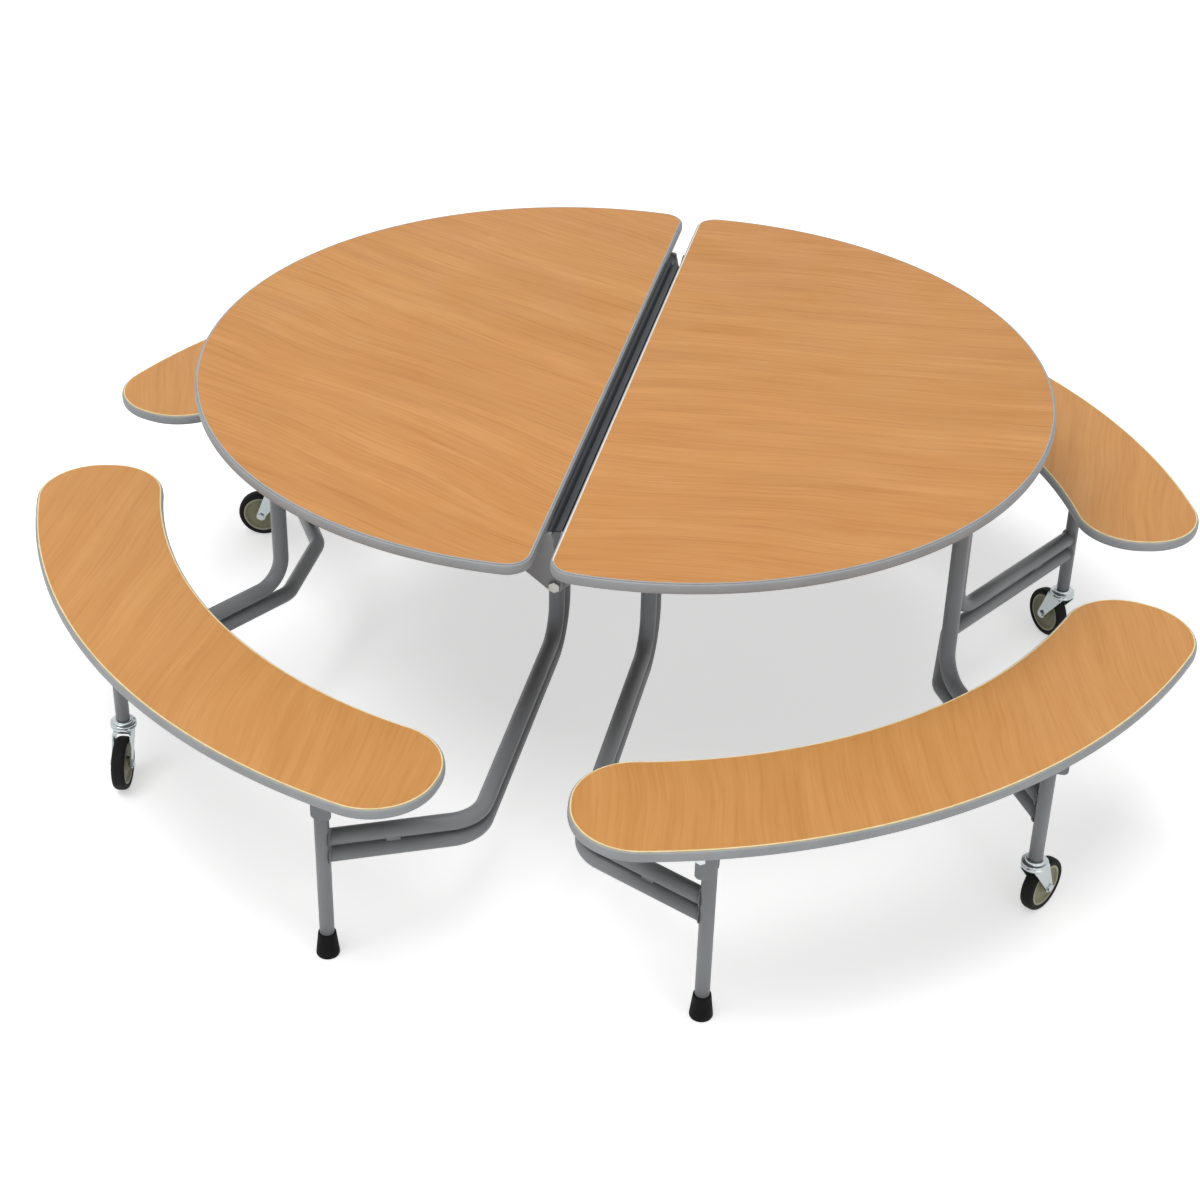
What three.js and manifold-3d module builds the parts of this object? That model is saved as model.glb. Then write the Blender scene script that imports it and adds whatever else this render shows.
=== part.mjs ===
// Folding cafeteria table with four curved benches, built from bent steel tube and edged boards.
// Millimetres, +Z up. The origin is on the floor under the middle of the slot between the two tops.
// +X runs across the slot to the right, +Y runs along the slot away from the viewer.

import * as THREE from 'three';
import { mergeVertices } from 'three/addons/utils/BufferGeometryUtils.js';
import Module from 'manifold-3d';

const wasm = await Module();
wasm.setup();

// Clearances
const GAP = 0.3;
const CHEEK_CLEARANCE = 0.5;

// Boards and their edging
const TOP_HEIGHT = 737;
const BENCH_HEIGHT = 459;
const BOARD_THICKNESS = 19;
const EDGING = 3.2;
const EDGING_ROUND = 3;
const TOP_RADIUS = 681;
const TOP_CENTRE_X = 85;
const TOP_CORNER = 42;
const SLOT_HALF = 14.7;
const BENCH_CENTRE = new THREE.Vector2(-37.5, -128.7);
const BENCH_GAP = 236;
const BENCH_INNER_RADIUS = TOP_RADIUS + BENCH_GAP;
const BENCH_WIDTH = 230;
const BENCH_START = THREE.MathUtils.degToRad(12.95);
const BENCH_END = THREE.MathUtils.degToRad(82.1);
const BENCH_END_FLAT = 12;
const BENCH_CORNER = (BENCH_WIDTH - BENCH_END_FLAT) / 2;
const TOP_UNDERSIDE = TOP_HEIGHT - BOARD_THICKNESS;
const BENCH_UNDERSIDE = BENCH_HEIGHT - BOARD_THICKNESS;

// Tube frames
const TUBE_RADIUS = 15.4;
const POST_RADIUS = 12.7;
const STACK_GAP = 2.6;
const STACK_PITCH = 2 * TUBE_RADIUS + STACK_GAP;
const RUN_HEIGHT = 250;
const PIVOT_DROP = 28;
const PIVOT_HEIGHT = TOP_UNDERSIDE - PIVOT_DROP;
const INNER_X = 86;
const INNER_RUN_SLOPE = 0.47;
const INNER_UPRIGHT_Y = 140;
const INNER_NEST = 48;
const INNER_FOOT_BEND = 55;
const INNER_TOP_BEND = 75;
const INNER_PLAN_BEND = 70;
const OUTER_INSET = 134;
const OUTER_X = TOP_CENTRE_X + TOP_RADIUS - OUTER_INSET;
const OUTER_UPRIGHT_Y = 103;
const OUTER_BEND = 55;
const STRETCHER_INSET = 7;
const STRETCHER_X = OUTER_X - STRETCHER_INSET;
const STRETCHER_BEND = 50;
const COPE_SETBACK = 9;
const SPACER_DISTANCE = 125;
const SPACER_LENGTH = 24;
const SPACER_WIDTH = 8;

// Bench pivots: the bench link is as long as the top link, so each half folds as a parallelogram
const FOOT_POST = new THREE.Vector2(322, 822);
const INNER_PIVOT_OFFSET = 13;
const OUTER_PIVOT_OFFSET = 22;
const INNER_PIVOT_X = FOOT_POST.x - INNER_PIVOT_OFFSET;
const OUTER_PIVOT_X = INNER_PIVOT_X + OUTER_X - INNER_X;
const CASTER_POST = new THREE.Vector2(OUTER_PIVOT_X - OUTER_PIVOT_OFFSET, 437);
const BENCH_PIVOT_DROP = 95;
const BENCH_PIVOT_HEIGHT = BENCH_UNDERSIDE - BENCH_PIVOT_DROP;
const POST_TOP = BENCH_PIVOT_HEIGHT + 35;
const BARREL_RADIUS = 10;
const BOLT_RADIUS = 5;
const BOLT_HEAD = 16;
const CHEEK_THICKNESS = 3;
const CHEEK_MARGIN = 9;
const INNER_CHEEK_BOTTOM = BENCH_PIVOT_HEIGHT - 44;
const OUTER_CHEEK_BOTTOM = BENCH_PIVOT_HEIGHT - 22;
const FLANGE_REACH = 12;
const FLANGE_HALF = 30;

// Centre hinge between the two tops
const HINGE_DROP = 98;
const HINGE_HEIGHT = TOP_UNDERSIDE - HINGE_DROP;
const HINGE_BOLT_HEAD = 17;
const RAIL_RADIUS = 12.7;
const RAIL_X = 20;
const EAR_Y = 530;
const EAR_THICKNESS = 6;
const EAR_RADIUS = 14;
const EAR_REACH = 135;
const EAR_TIP = 10;
const TAB_POSITIONS = [-310, 183];
const TAB_HALF = 20;
const TAB_REACH = 30;

// Straps that carry the top on the frames
const STRAP_THICKNESS = 3.5;
const STRAP_FLANGE = 42;
const INNER_STRAP_LENGTH = 90;
const OUTER_STRAP_LENGTH = 70;

// Feet and casters
const FERRULE_RADIUS = 20;
const FERRULE_TOP_RADIUS = 15.6;
const FERRULE_HEIGHT = 48;
const FERRULE_FLOOR = 8;
const WHEEL_RADIUS = 50;
const WHEEL_WIDTH = 25;
const RIM_RADIUS = 39;
const CASTER_TOP = 127;
const CASTER_TRAIL = 34;
const CASTER_RACE = 16;
const RACE_RADIUS = 24;
const NECK_RADIUS = 17;
const FORK_BACK = -17;
const FORK_FRONT = 23;
const FORK_THICKNESS = 3;
const AXLE_BOSS = 10;
const AXLE_NUT = 13;
const STEM_RADIUS = 6;
const STEM_LENGTH = 30;

// Colours as seen: warm beech laminate, grey edging, grey powder coat, bright zinc, black rubber
const LAMINATE = { color: 0xcf965c, roughness: 0.45, metalness: 0 };
const EDGE_GREY = { color: 0x969ba0, roughness: 0.55, metalness: 0 };
const POWDER_COAT = { color: 0x6e7074, roughness: 0.5, metalness: 0.35 };
const ZINC = { color: 0xbecdcd, roughness: 0.28, metalness: 0.9 };
const RUBBER = { color: 0x232120, roughness: 0.85, metalness: 0 };
const HUB_PLASTIC = { color: 0x6e694b, roughness: 0.6, metalness: 0 };

const table = new THREE.Group();
table.name = 'folding_bench_table';

// Adds one named piece to the table
function add(name, geometry, finish) {
  const mesh = new THREE.Mesh(geometry, new THREE.MeshStandardMaterial(finish));
  mesh.name = name;
  table.add(mesh);
}

// Turns a geometry into a solid that can be cut and joined
function toSolid(geometry) {
  const bare = geometry.clone();
  bare.deleteAttribute('normal');
  bare.deleteAttribute('uv');
  const welded = mergeVertices(bare, 1e-4);
  return new wasm.Manifold(new wasm.Mesh({
    numProp: 3,
    vertProperties: new Float32Array(welded.attributes.position.array),
    triVerts: new Uint32Array(welded.index.array),
  }));
}

// Turns a solid back into a geometry
function toGeometry(solid) {
  const mesh = solid.getMesh();
  const geometry = new THREE.BufferGeometry();
  geometry.setAttribute('position', new THREE.BufferAttribute(mesh.vertProperties, 3));
  geometry.setIndex(new THREE.BufferAttribute(mesh.triVerts, 1));
  geometry.computeVertexNormals();
  return geometry;
}

// Joins geometries into one body, then cuts others away
function shape(joined, cut = []) {
  let solid = toSolid(joined[0]);
  for (const piece of joined.slice(1)) {
    solid = solid.add(toSolid(piece));
  }
  for (const piece of cut) {
    solid = solid.subtract(toSolid(piece));
  }
  return toGeometry(solid);
}

// Mirrors a geometry into another quarter of the table, keeping its faces outward
function mirrored(geometry, sideX, sideY) {
  const copy = geometry.clone();
  copy.scale(sideX, sideY, 1);
  if (sideX * sideY < 0) {
    const index = copy.index ? copy.index.array : null;
    if (index) {
      for (let i = 0; i < index.length; i += 3) {
        [index[i], index[i + 1]] = [index[i + 1], index[i]];
      }
    } else {
      const p = copy.attributes.position;
      for (let i = 0; i < p.count; i += 3) {
        const first = new THREE.Vector3().fromBufferAttribute(p, i);
        const second = new THREE.Vector3().fromBufferAttribute(p, i + 1);
        p.setXYZ(i, second.x, second.y, second.z);
        p.setXYZ(i + 1, first.x, first.y, first.z);
      }
    }
  }
  copy.computeVertexNormals();
  return copy;
}

// Extrudes a flat outline upward from a given height
function slab(outline, bottom, thickness) {
  const geometry = new THREE.ExtrudeGeometry(outline, { depth: thickness, bevelEnabled: false });
  geometry.translate(0, 0, bottom);
  return geometry;
}

// Extrudes an outline drawn in X and Z along Y, between two Y positions
function plateAcross(outline, yFrom, yTo, curveSegments = 8) {
  const depth = yTo - yFrom;
  const geometry = new THREE.ExtrudeGeometry(outline, { depth, bevelEnabled: false, curveSegments });
  geometry.rotateX(Math.PI / 2);
  geometry.translate(0, yTo, 0);
  return geometry;
}

// A round bar along Y
function barAlongY(x, z, radius, yFrom, yTo, segments = 10) {
  const geometry = new THREE.CylinderGeometry(radius, radius, yTo - yFrom, segments);
  geometry.translate(x, (yFrom + yTo) / 2, z);
  return geometry;
}

// A round bar standing on Z
function barAlongZ(x, y, radius, zFrom, zTo, segments = 16) {
  const geometry = new THREE.CylinderGeometry(radius, radius, zTo - zFrom, segments);
  geometry.rotateX(Math.PI / 2);
  geometry.translate(x, y, (zFrom + zTo) / 2);
  return geometry;
}

// A block given by its low and high corners
function block(low, high) {
  const geometry = new THREE.BoxGeometry(high[0] - low[0], high[1] - low[1], high[2] - low[2]);
  geometry.translate((low[0] + high[0]) / 2, (low[1] + high[1]) / 2, (low[2] + high[2]) / 2);
  return geometry;
}

// A path with one station at each end of every straight and several round each bend
class BentPath extends THREE.Curve {
  constructor(corners, bendSteps = 4) {
    super();
    this.stations = [];
    const last = corners.length - 1;
    const direction = (from, to) => new THREE.Vector3().subVectors(to.at, from.at).normalize();
    this.stations.push({ at: corners[0].at, along: direction(corners[0], corners[1]) });
    for (let i = 1; i < last; i += 1) {
      const into = direction(corners[i - 1], corners[i]);
      const out = direction(corners[i], corners[i + 1]);
      const turn = into.angleTo(out);
      const setback = corners[i].bend * Math.tan(turn / 2);
      const side = out.clone().addScaledVector(into, -out.dot(into)).normalize();
      const start = corners[i].at.clone().addScaledVector(into, -setback);
      for (let k = 0; k <= bendSteps; k += 1) {
        const angle = turn * k / bendSteps;
        const at = start.clone()
          .addScaledVector(into, corners[i].bend * Math.sin(angle))
          .addScaledVector(side, corners[i].bend * (1 - Math.cos(angle)));
        const along = into.clone().multiplyScalar(Math.cos(angle)).addScaledVector(side, Math.sin(angle));
        this.stations.push({ at, along });
      }
    }
    this.stations.push({ at: corners[last].at, along: direction(corners[last - 1], corners[last]) });
  }

  station(t) {
    return this.stations[Math.round(t * (this.stations.length - 1))];
  }

  getPointAt(t) {
    return this.station(t).at.clone();
  }

  getTangentAt(t) {
    return this.station(t).along.clone();
  }
}

// A tube bent through the given corners
function bentTube(corners, radius) {
  const path = new BentPath(corners);
  const section = new THREE.Shape();
  section.absarc(0, 0, radius, 0, Math.PI * 2);
  return new THREE.ExtrudeGeometry(section, {
    steps: path.stations.length - 1,
    extrudePath: path,
    curveSegments: 6,
  });
}

function corner(x, y, z, bend = 0) {
  return { at: new THREE.Vector3(x, y, z), bend };
}

// Points along an arc, both ends included
function arc(x, y, radius, from, to, steps) {
  const points = [];
  for (let i = 0; i <= steps; i += 1) {
    const angle = from + (to - from) * i / steps;
    points.push(new THREE.Vector2(x + radius * Math.cos(angle), y + radius * Math.sin(angle)));
  }
  return points;
}

// Outline of the right-hand top, drawn inside its edge by the given inset
function topOutline(inset) {
  const filletX = SLOT_HALF + TOP_CORNER;
  const reach = TOP_RADIUS - TOP_CORNER;
  const filletY = Math.sqrt(reach ** 2 - (filletX - TOP_CENTRE_X) ** 2);
  const meet = Math.atan2(filletY, filletX - TOP_CENTRE_X);
  const small = TOP_CORNER - inset;
  return new THREE.Shape([
    ...arc(TOP_CENTRE_X, 0, TOP_RADIUS - inset, -meet, meet, 40).slice(0, -1),
    ...arc(filletX, filletY, small, meet, Math.PI, 6),
    ...arc(filletX, -filletY, small, Math.PI, 2 * Math.PI - meet, 6).slice(0, -1),
  ]);
}

// Outline of the back right bench, drawn inside its edge by the given inset
function benchOutline(inset) {
  const outer = BENCH_INNER_RADIUS + BENCH_WIDTH;
  const outerReach = outer - BENCH_CORNER;
  const innerReach = BENCH_INNER_RADIUS + BENCH_CORNER;
  const outerTrim = Math.asin(BENCH_CORNER / outerReach);
  const innerTrim = Math.asin(BENCH_CORNER / innerReach);
  const { x, y } = BENCH_CENTRE;
  const small = BENCH_CORNER - inset;
  const half = Math.PI / 2;
  const round = (reach, angle, from, to) =>
    arc(x + reach * Math.cos(angle), y + reach * Math.sin(angle), small, from, to, 6);
  const outerFrom = BENCH_START + outerTrim;
  const outerTo = BENCH_END - outerTrim;
  const innerFrom = BENCH_START + innerTrim;
  const innerTo = BENCH_END - innerTrim;
  return new THREE.Shape([
    ...arc(x, y, outer - inset, outerFrom, outerTo, 16).slice(0, -1),
    ...round(outerReach, outerTo, outerTo, BENCH_END + half),
    ...round(innerReach, innerTo, BENCH_END + half, innerTo + Math.PI).slice(0, -1),
    ...arc(x, y, BENCH_INNER_RADIUS + inset, innerTo, innerFrom, 16).slice(0, -1),
    ...round(innerReach, innerFrom, innerFrom + Math.PI, BENCH_START + 3 * half),
    ...round(outerReach, outerFrom, BENCH_START - half, outerFrom).slice(0, -1),
  ]);
}

// A board and the rounded edging strip around it
function boardAndEdging(outlineAt, underside) {
  const board = slab(outlineAt(EDGING + GAP), underside, BOARD_THICKNESS);
  const rounded = new THREE.ExtrudeGeometry(outlineAt(EDGING_ROUND), {
    depth: BOARD_THICKNESS - 2 * EDGING_ROUND,
    bevelThickness: EDGING_ROUND,
    bevelSize: EDGING_ROUND,
    bevelSegments: 1,
  });
  rounded.translate(0, 0, underside + EDGING_ROUND);
  const core = slab(outlineAt(EDGING), underside - 1, BOARD_THICKNESS + 2);
  return { board, edging: shape([rounded], [core]) };
}

// Outline of a hinge ear: round about the bolt, with straight sides up to the rail and out to a tip
function earOutline() {
  const seat = TOP_UNDERSIDE - GAP;
  const tip = new THREE.Vector2(EAR_REACH, seat - EAR_TIP);
  const root = new THREE.Vector2(RAIL_X - RAIL_RADIUS, seat);
  const bolt = new THREE.Vector2(0, HINGE_HEIGHT);
  const toTip = tip.clone().sub(bolt);
  const toRoot = root.clone().sub(bolt);
  const tipTangent = toTip.angle() - Math.acos(EAR_RADIUS / toTip.length());
  const rootTangent = toRoot.angle() + Math.acos(EAR_RADIUS / toRoot.length());
  const outline = new THREE.Shape();
  outline.moveTo(tip.x, tip.y);
  outline.lineTo(EAR_REACH, seat);
  outline.lineTo(root.x, root.y);
  outline.absarc(0, HINGE_HEIGHT, EAR_RADIUS, rootTangent, tipTangent + 2 * Math.PI);
  return outline;
}

// A hexagon head or nut along Y
function hexAlongY(x, z, acrossFlats, yFrom, yTo) {
  return barAlongY(x, z, acrossFlats / Math.sqrt(3), yFrom, yTo, 6);
}

// Strap under the top that wraps a frame tube
function strap(x, length) {
  const inner = TUBE_RADIUS + GAP;
  const outer = inner + STRAP_THICKNESS;
  const seat = TOP_UNDERSIDE - GAP - PIVOT_HEIGHT;
  const outline = new THREE.Shape();
  outline.moveTo(-STRAP_FLANGE, seat - STRAP_THICKNESS);
  outline.lineTo(-outer, seat - STRAP_THICKNESS);
  outline.absarc(0, 0, outer, Math.PI, 2 * Math.PI);
  outline.lineTo(outer, seat - STRAP_THICKNESS);
  outline.lineTo(STRAP_FLANGE, seat - STRAP_THICKNESS);
  outline.lineTo(STRAP_FLANGE, seat);
  outline.lineTo(inner, seat);
  outline.absarc(0, 0, inner, 2 * Math.PI, Math.PI, true);
  outline.lineTo(-inner, seat);
  outline.lineTo(-STRAP_FLANGE, seat);
  const geometry = plateAcross(outline, -length / 2, length / 2, 6);
  geometry.translate(x, 0, PIVOT_HEIGHT);
  return geometry;
}

// Rail along the slot under one top, with a hinge ear at each end and screw tabs between
function rail(earY) {
  const railHeight = TOP_UNDERSIDE - GAP - RAIL_RADIUS;
  const pieces = [barAlongY(RAIL_X, railHeight, RAIL_RADIUS, -earY - 1, earY + 1, 16)];
  const holes = [];
  for (const end of [-1, 1]) {
    const near = end * earY;
    const far = end * (earY + EAR_THICKNESS);
    pieces.push(plateAcross(earOutline(), Math.min(near, far), Math.max(near, far)));
    holes.push(barAlongY(0, HINGE_HEIGHT, BOLT_RADIUS + GAP, Math.min(near, far) - 1, Math.max(near, far) + 1, 16));
  }
  for (const y of TAB_POSITIONS) {
    const tabTop = railHeight + RAIL_RADIUS;
    const low = [RAIL_X, y - TAB_HALF, tabTop - EAR_THICKNESS / 2];
    pieces.push(block(low, [RAIL_X + TAB_REACH, y + TAB_HALF, tabTop]));
  }
  return shape(pieces, holes);
}

// Bolt and nut through a pair of hinge ears at one end of the slot
function hingeBolt(end) {
  const inside = EAR_Y - GAP;
  const outside = EAR_Y + 2 * EAR_THICKNESS + 2 * GAP;
  const parts = [
    [BOLT_RADIUS, inside - 12, outside + 2, 16],
    [HINGE_BOLT_HEAD / Math.sqrt(3), outside, outside + 7, 6],
    [HINGE_BOLT_HEAD / Math.sqrt(3), inside - 9, inside, 6],
  ];
  return shape(parts.map(([radius, from, to, segments]) => {
    const low = Math.min(end * from, end * to);
    const high = Math.max(end * from, end * to);
    return barAlongY(0, HINGE_HEIGHT, radius, low, high, segments);
  }));
}

// Upper and lower tubes of one inner frame run from the back foot post over the middle to the front one
function innerTube(sideX, level) {
  const drop = level * STACK_PITCH;
  const z = RUN_HEIGHT - drop;
  const x = sideX * INNER_X;
  const planY = FOOT_POST.y - (FOOT_POST.x - INNER_X) * INNER_RUN_SLOPE;
  const uprightY = INNER_UPRIGHT_Y - level * INNER_NEST;
  const topZ = PIVOT_HEIGHT - level * INNER_NEST;
  const along = new THREE.Vector2(INNER_X - FOOT_POST.x, planY - FOOT_POST.y).normalize();
  const startX = sideX * (FOOT_POST.x + along.x * COPE_SETBACK);
  const startY = FOOT_POST.y + along.y * COPE_SETBACK;
  const corners = [
    corner(startX, startY, z),
    corner(x, planY, z, INNER_PLAN_BEND),
    corner(x, uprightY, z, INNER_FOOT_BEND + drop),
    corner(x, uprightY, topZ, INNER_TOP_BEND - drop),
    corner(x, -uprightY, topZ, INNER_TOP_BEND - drop),
    corner(x, -uprightY, z, INNER_FOOT_BEND + drop),
    corner(x, -planY, z, INNER_PLAN_BEND),
    corner(startX, -startY, z),
  ];
  const joined = [bentTube(corners, TUBE_RADIUS)];
  const cut = [];
  for (const sideY of [-1, 1]) {
    cut.push(postClearance(sideX * FOOT_POST.x, sideY * FOOT_POST.y));
    if (level === 1) {
      joined.push(spacer(FOOT_POST, along, sideX, sideY));
    }
  }
  return shape(joined, cut);
}

function postClearance(x, y) {
  return barAlongZ(x, y, POST_RADIUS + GAP, 0, POST_TOP, 16);
}

// Small welded block that keeps two stacked tubes apart, set along the run from a post
function spacer(post, along, sideX, sideY) {
  const bottom = RUN_HEIGHT - STACK_PITCH;
  const top = RUN_HEIGHT - TUBE_RADIUS - GAP;
  const halfLength = SPACER_LENGTH / 2;
  const halfWidth = SPACER_WIDTH / 2;
  const geometry = block([-halfLength, -halfWidth, bottom], [halfLength, halfWidth, top]);
  geometry.rotateZ(Math.atan2(along.y, along.x));
  geometry.translate(post.x + along.x * SPACER_DISTANCE, post.y + along.y * SPACER_DISTANCE, 0);
  return mirrored(geometry, sideX, sideY);
}

const OUTER_ALONG = new THREE.Vector2(OUTER_X - CASTER_POST.x, OUTER_UPRIGHT_Y - CASTER_POST.y).normalize();

// Hoop of one outer frame: in from one caster post, up, across under the top, down and out again
function outerHoop(sideX) {
  const startX = sideX * (CASTER_POST.x + OUTER_ALONG.x * COPE_SETBACK);
  const startY = CASTER_POST.y + OUTER_ALONG.y * COPE_SETBACK;
  const x = sideX * OUTER_X;
  const tube = bentTube([
    corner(startX, startY, RUN_HEIGHT),
    corner(x, OUTER_UPRIGHT_Y, RUN_HEIGHT, OUTER_BEND),
    corner(x, OUTER_UPRIGHT_Y, PIVOT_HEIGHT, OUTER_BEND),
    corner(x, -OUTER_UPRIGHT_Y, PIVOT_HEIGHT, OUTER_BEND),
    corner(x, -OUTER_UPRIGHT_Y, RUN_HEIGHT, OUTER_BEND),
    corner(startX, -startY, RUN_HEIGHT),
  ], TUBE_RADIUS);
  return shape([tube], [-1, 1].map((sideY) => postClearance(sideX * CASTER_POST.x, sideY * CASTER_POST.y)));
}

// Stretcher of one outer frame: a flat run below the hoop that ties the two caster posts together
function outerStretcher(sideX) {
  const z = RUN_HEIGHT - STACK_PITCH;
  const startX = sideX * (CASTER_POST.x + OUTER_ALONG.x * COPE_SETBACK);
  const startY = CASTER_POST.y + OUTER_ALONG.y * COPE_SETBACK;
  const x = sideX * STRETCHER_X;
  const turnY = CASTER_POST.y + (STRETCHER_X - CASTER_POST.x) * OUTER_ALONG.y / OUTER_ALONG.x;
  const tube = bentTube([
    corner(startX, startY, z),
    corner(x, turnY, z, STRETCHER_BEND),
    corner(x, -turnY, z, STRETCHER_BEND),
    corner(startX, -startY, z),
  ], TUBE_RADIUS);
  const spacers = [-1, 1].map((sideY) => spacer(CASTER_POST, OUTER_ALONG, sideX, sideY));
  const cuts = [-1, 1].map((sideY) => postClearance(sideX * CASTER_POST.x, sideY * CASTER_POST.y));
  return shape([tube, ...spacers], cuts);
}

// Post of the back right quarter with the pivot barrel welded to its side
function post(place, bottom, pivotX, socket) {
  const body = barAlongZ(place.x, place.y, POST_RADIUS, bottom, POST_TOP);
  const barrel = barAlongY(
    pivotX, BENCH_PIVOT_HEIGHT, BARREL_RADIUS, place.y - POST_RADIUS, place.y + POST_RADIUS, 16);
  const bore = barAlongY(
    pivotX, BENCH_PIVOT_HEIGHT, BOLT_RADIUS + GAP, place.y - 2 * POST_RADIUS, place.y + 2 * POST_RADIUS, 12);
  const cuts = [bore];
  if (socket) {
    cuts.push(barAlongZ(place.x, place.y, STEM_RADIUS + GAP, bottom - 1, bottom + STEM_LENGTH + 2, 12));
  }
  return shape([body, barrel], cuts);
}

// Hanger of the back right quarter: flange under the bench, two cheeks beside the post, pivot bolt
function hanger(place, pivotX, cheekBottom) {
  const low = Math.min(place.x - POST_RADIUS, pivotX - CHEEK_MARGIN);
  const high = Math.max(place.x + POST_RADIUS, pivotX + CHEEK_MARGIN);
  const flangeTop = BENCH_UNDERSIDE - GAP;
  const flangeBottom = flangeTop - CHEEK_THICKNESS;
  const near = POST_RADIUS + CHEEK_CLEARANCE;
  const far = near + CHEEK_THICKNESS;
  const round = CHEEK_MARGIN;
  const outline = new THREE.Shape();
  outline.moveTo(low, flangeBottom + 1);
  outline.lineTo(low, cheekBottom + round);
  outline.absarc(low + round, cheekBottom + round, round, Math.PI, 1.5 * Math.PI);
  outline.absarc(high - round, cheekBottom + round, round, 1.5 * Math.PI, 2 * Math.PI);
  outline.lineTo(high, flangeBottom + 1);
  const flangeLow = [low - FLANGE_REACH, place.y - FLANGE_HALF, flangeBottom];
  const flangeHigh = [high + FLANGE_REACH, place.y + FLANGE_HALF, flangeTop];
  const pieces = [
    block(flangeLow, flangeHigh),
    plateAcross(outline, place.y - far, place.y - near, 4),
    plateAcross(outline, place.y + near, place.y + far, 4),
    barAlongY(pivotX, BENCH_PIVOT_HEIGHT, BOLT_RADIUS, place.y - far - 8, place.y + far + 6),
    hexAlongY(pivotX, BENCH_PIVOT_HEIGHT, BOLT_HEAD, place.y + far - 1, place.y + far + 6),
    hexAlongY(pivotX, BENCH_PIVOT_HEIGHT, BOLT_HEAD, place.y - far - 7, place.y - far + 1),
  ];
  return shape(pieces);
}

// Rubber ferrule that the foot post stands in
function ferrule(place) {
  const profile = [
    [0, 0], [FERRULE_RADIUS - 1, 0], [FERRULE_RADIUS, 1.5], [FERRULE_RADIUS, 6],
    [FERRULE_TOP_RADIUS, FERRULE_HEIGHT - 3], [FERRULE_TOP_RADIUS - 1, FERRULE_HEIGHT],
    [POST_RADIUS + GAP, FERRULE_HEIGHT], [POST_RADIUS + GAP, FERRULE_FLOOR], [0, FERRULE_FLOOR],
  ];
  const geometry = new THREE.LatheGeometry(profile.map(([r, z]) => new THREE.Vector2(r, z)), 16);
  geometry.rotateX(Math.PI / 2);
  geometry.translate(place.x, place.y, 0);
  return shape([geometry]);
}

// Revolves a closed profile of radius and width about the wheel's axle
function wheelPiece(profile) {
  const closed = [...profile, profile[0]];
  const geometry = new THREE.LatheGeometry(closed.map(([r, w]) => new THREE.Vector2(r, w)), 24);
  return geometry;
}

// Fork, hub and tyre of one caster, drawn trailing along +X with the axle along Y
function caster() {
  const half = WHEEL_WIDTH / 2;
  const legNear = half + 2.5;
  const legFar = legNear + FORK_THICKNESS;
  const crownTop = CASTER_TOP - CASTER_RACE;
  const crownBottom = crownTop - FORK_THICKNESS;
  const raceTop = CASTER_TOP - CASTER_RACE / 3;
  const leg = new THREE.Shape();
  leg.moveTo(FORK_FRONT, crownTop);
  leg.lineTo(FORK_BACK, crownTop);
  leg.lineTo(FORK_BACK, crownBottom - FORK_THICKNESS);
  leg.absarc(CASTER_TRAIL, WHEEL_RADIUS, AXLE_BOSS, 1.3 * Math.PI, 2.05 * Math.PI);
  const fork = shape([
    block([FORK_BACK, -legFar, crownBottom], [FORK_FRONT, legFar, crownTop]),
    plateAcross(leg, -legFar, -legNear, 6),
    plateAcross(leg, legNear, legFar, 6),
    barAlongZ(0, 0, RACE_RADIUS, crownTop - 1, raceTop, 24),
    barAlongZ(0, 0, NECK_RADIUS, crownTop, CASTER_TOP - GAP, 16),
    barAlongZ(0, 0, STEM_RADIUS, crownTop, CASTER_TOP + STEM_LENGTH, 8),
    barAlongY(CASTER_TRAIL, WHEEL_RADIUS, BOLT_RADIUS, -legFar - 5, legFar + 5),
    hexAlongY(CASTER_TRAIL, WHEEL_RADIUS, AXLE_NUT, legFar - 1, legFar + 4),
    hexAlongY(CASTER_TRAIL, WHEEL_RADIUS, AXLE_NUT, -legFar - 4, -legFar + 1),
  ]);
  const rim = RIM_RADIUS - GAP;
  const bore = BOLT_RADIUS + GAP;
  const hub = wheelPiece([
    [bore, -half], [13, -half], [13, -half + 6], [rim - 5, -half + 6], [rim - 3, -half + 2], [rim, -half + 2],
    [rim, half - 2], [rim - 3, half - 2], [rim - 5, half - 6], [13, half - 6], [13, half], [bore, half],
  ]);
  const tyre = wheelPiece([
    [RIM_RADIUS, -half + 2], [WHEEL_RADIUS - 6, -half], [WHEEL_RADIUS - 1.5, -half + 4], [WHEEL_RADIUS, -half + 10],
    [WHEEL_RADIUS, half - 10], [WHEEL_RADIUS - 1.5, half - 4], [WHEEL_RADIUS - 6, half], [RIM_RADIUS, half - 2],
  ]);
  for (const piece of [hub, tyre]) {
    piece.translate(CASTER_TRAIL, 0, WHEEL_RADIUS);
  }
  return { fork, hub: shape([hub]), tyre: shape([tyre]) };
}

const SIDES = [['left', -1], ['right', 1]];
const ENDS = [['front', -1], ['back', 1]];

// Where each caster happens to trail, in degrees from +X
const CASTER_HEADINGS = { front_right: 60, front_left: 280, back_right: 130, back_left: 188 };

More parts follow.
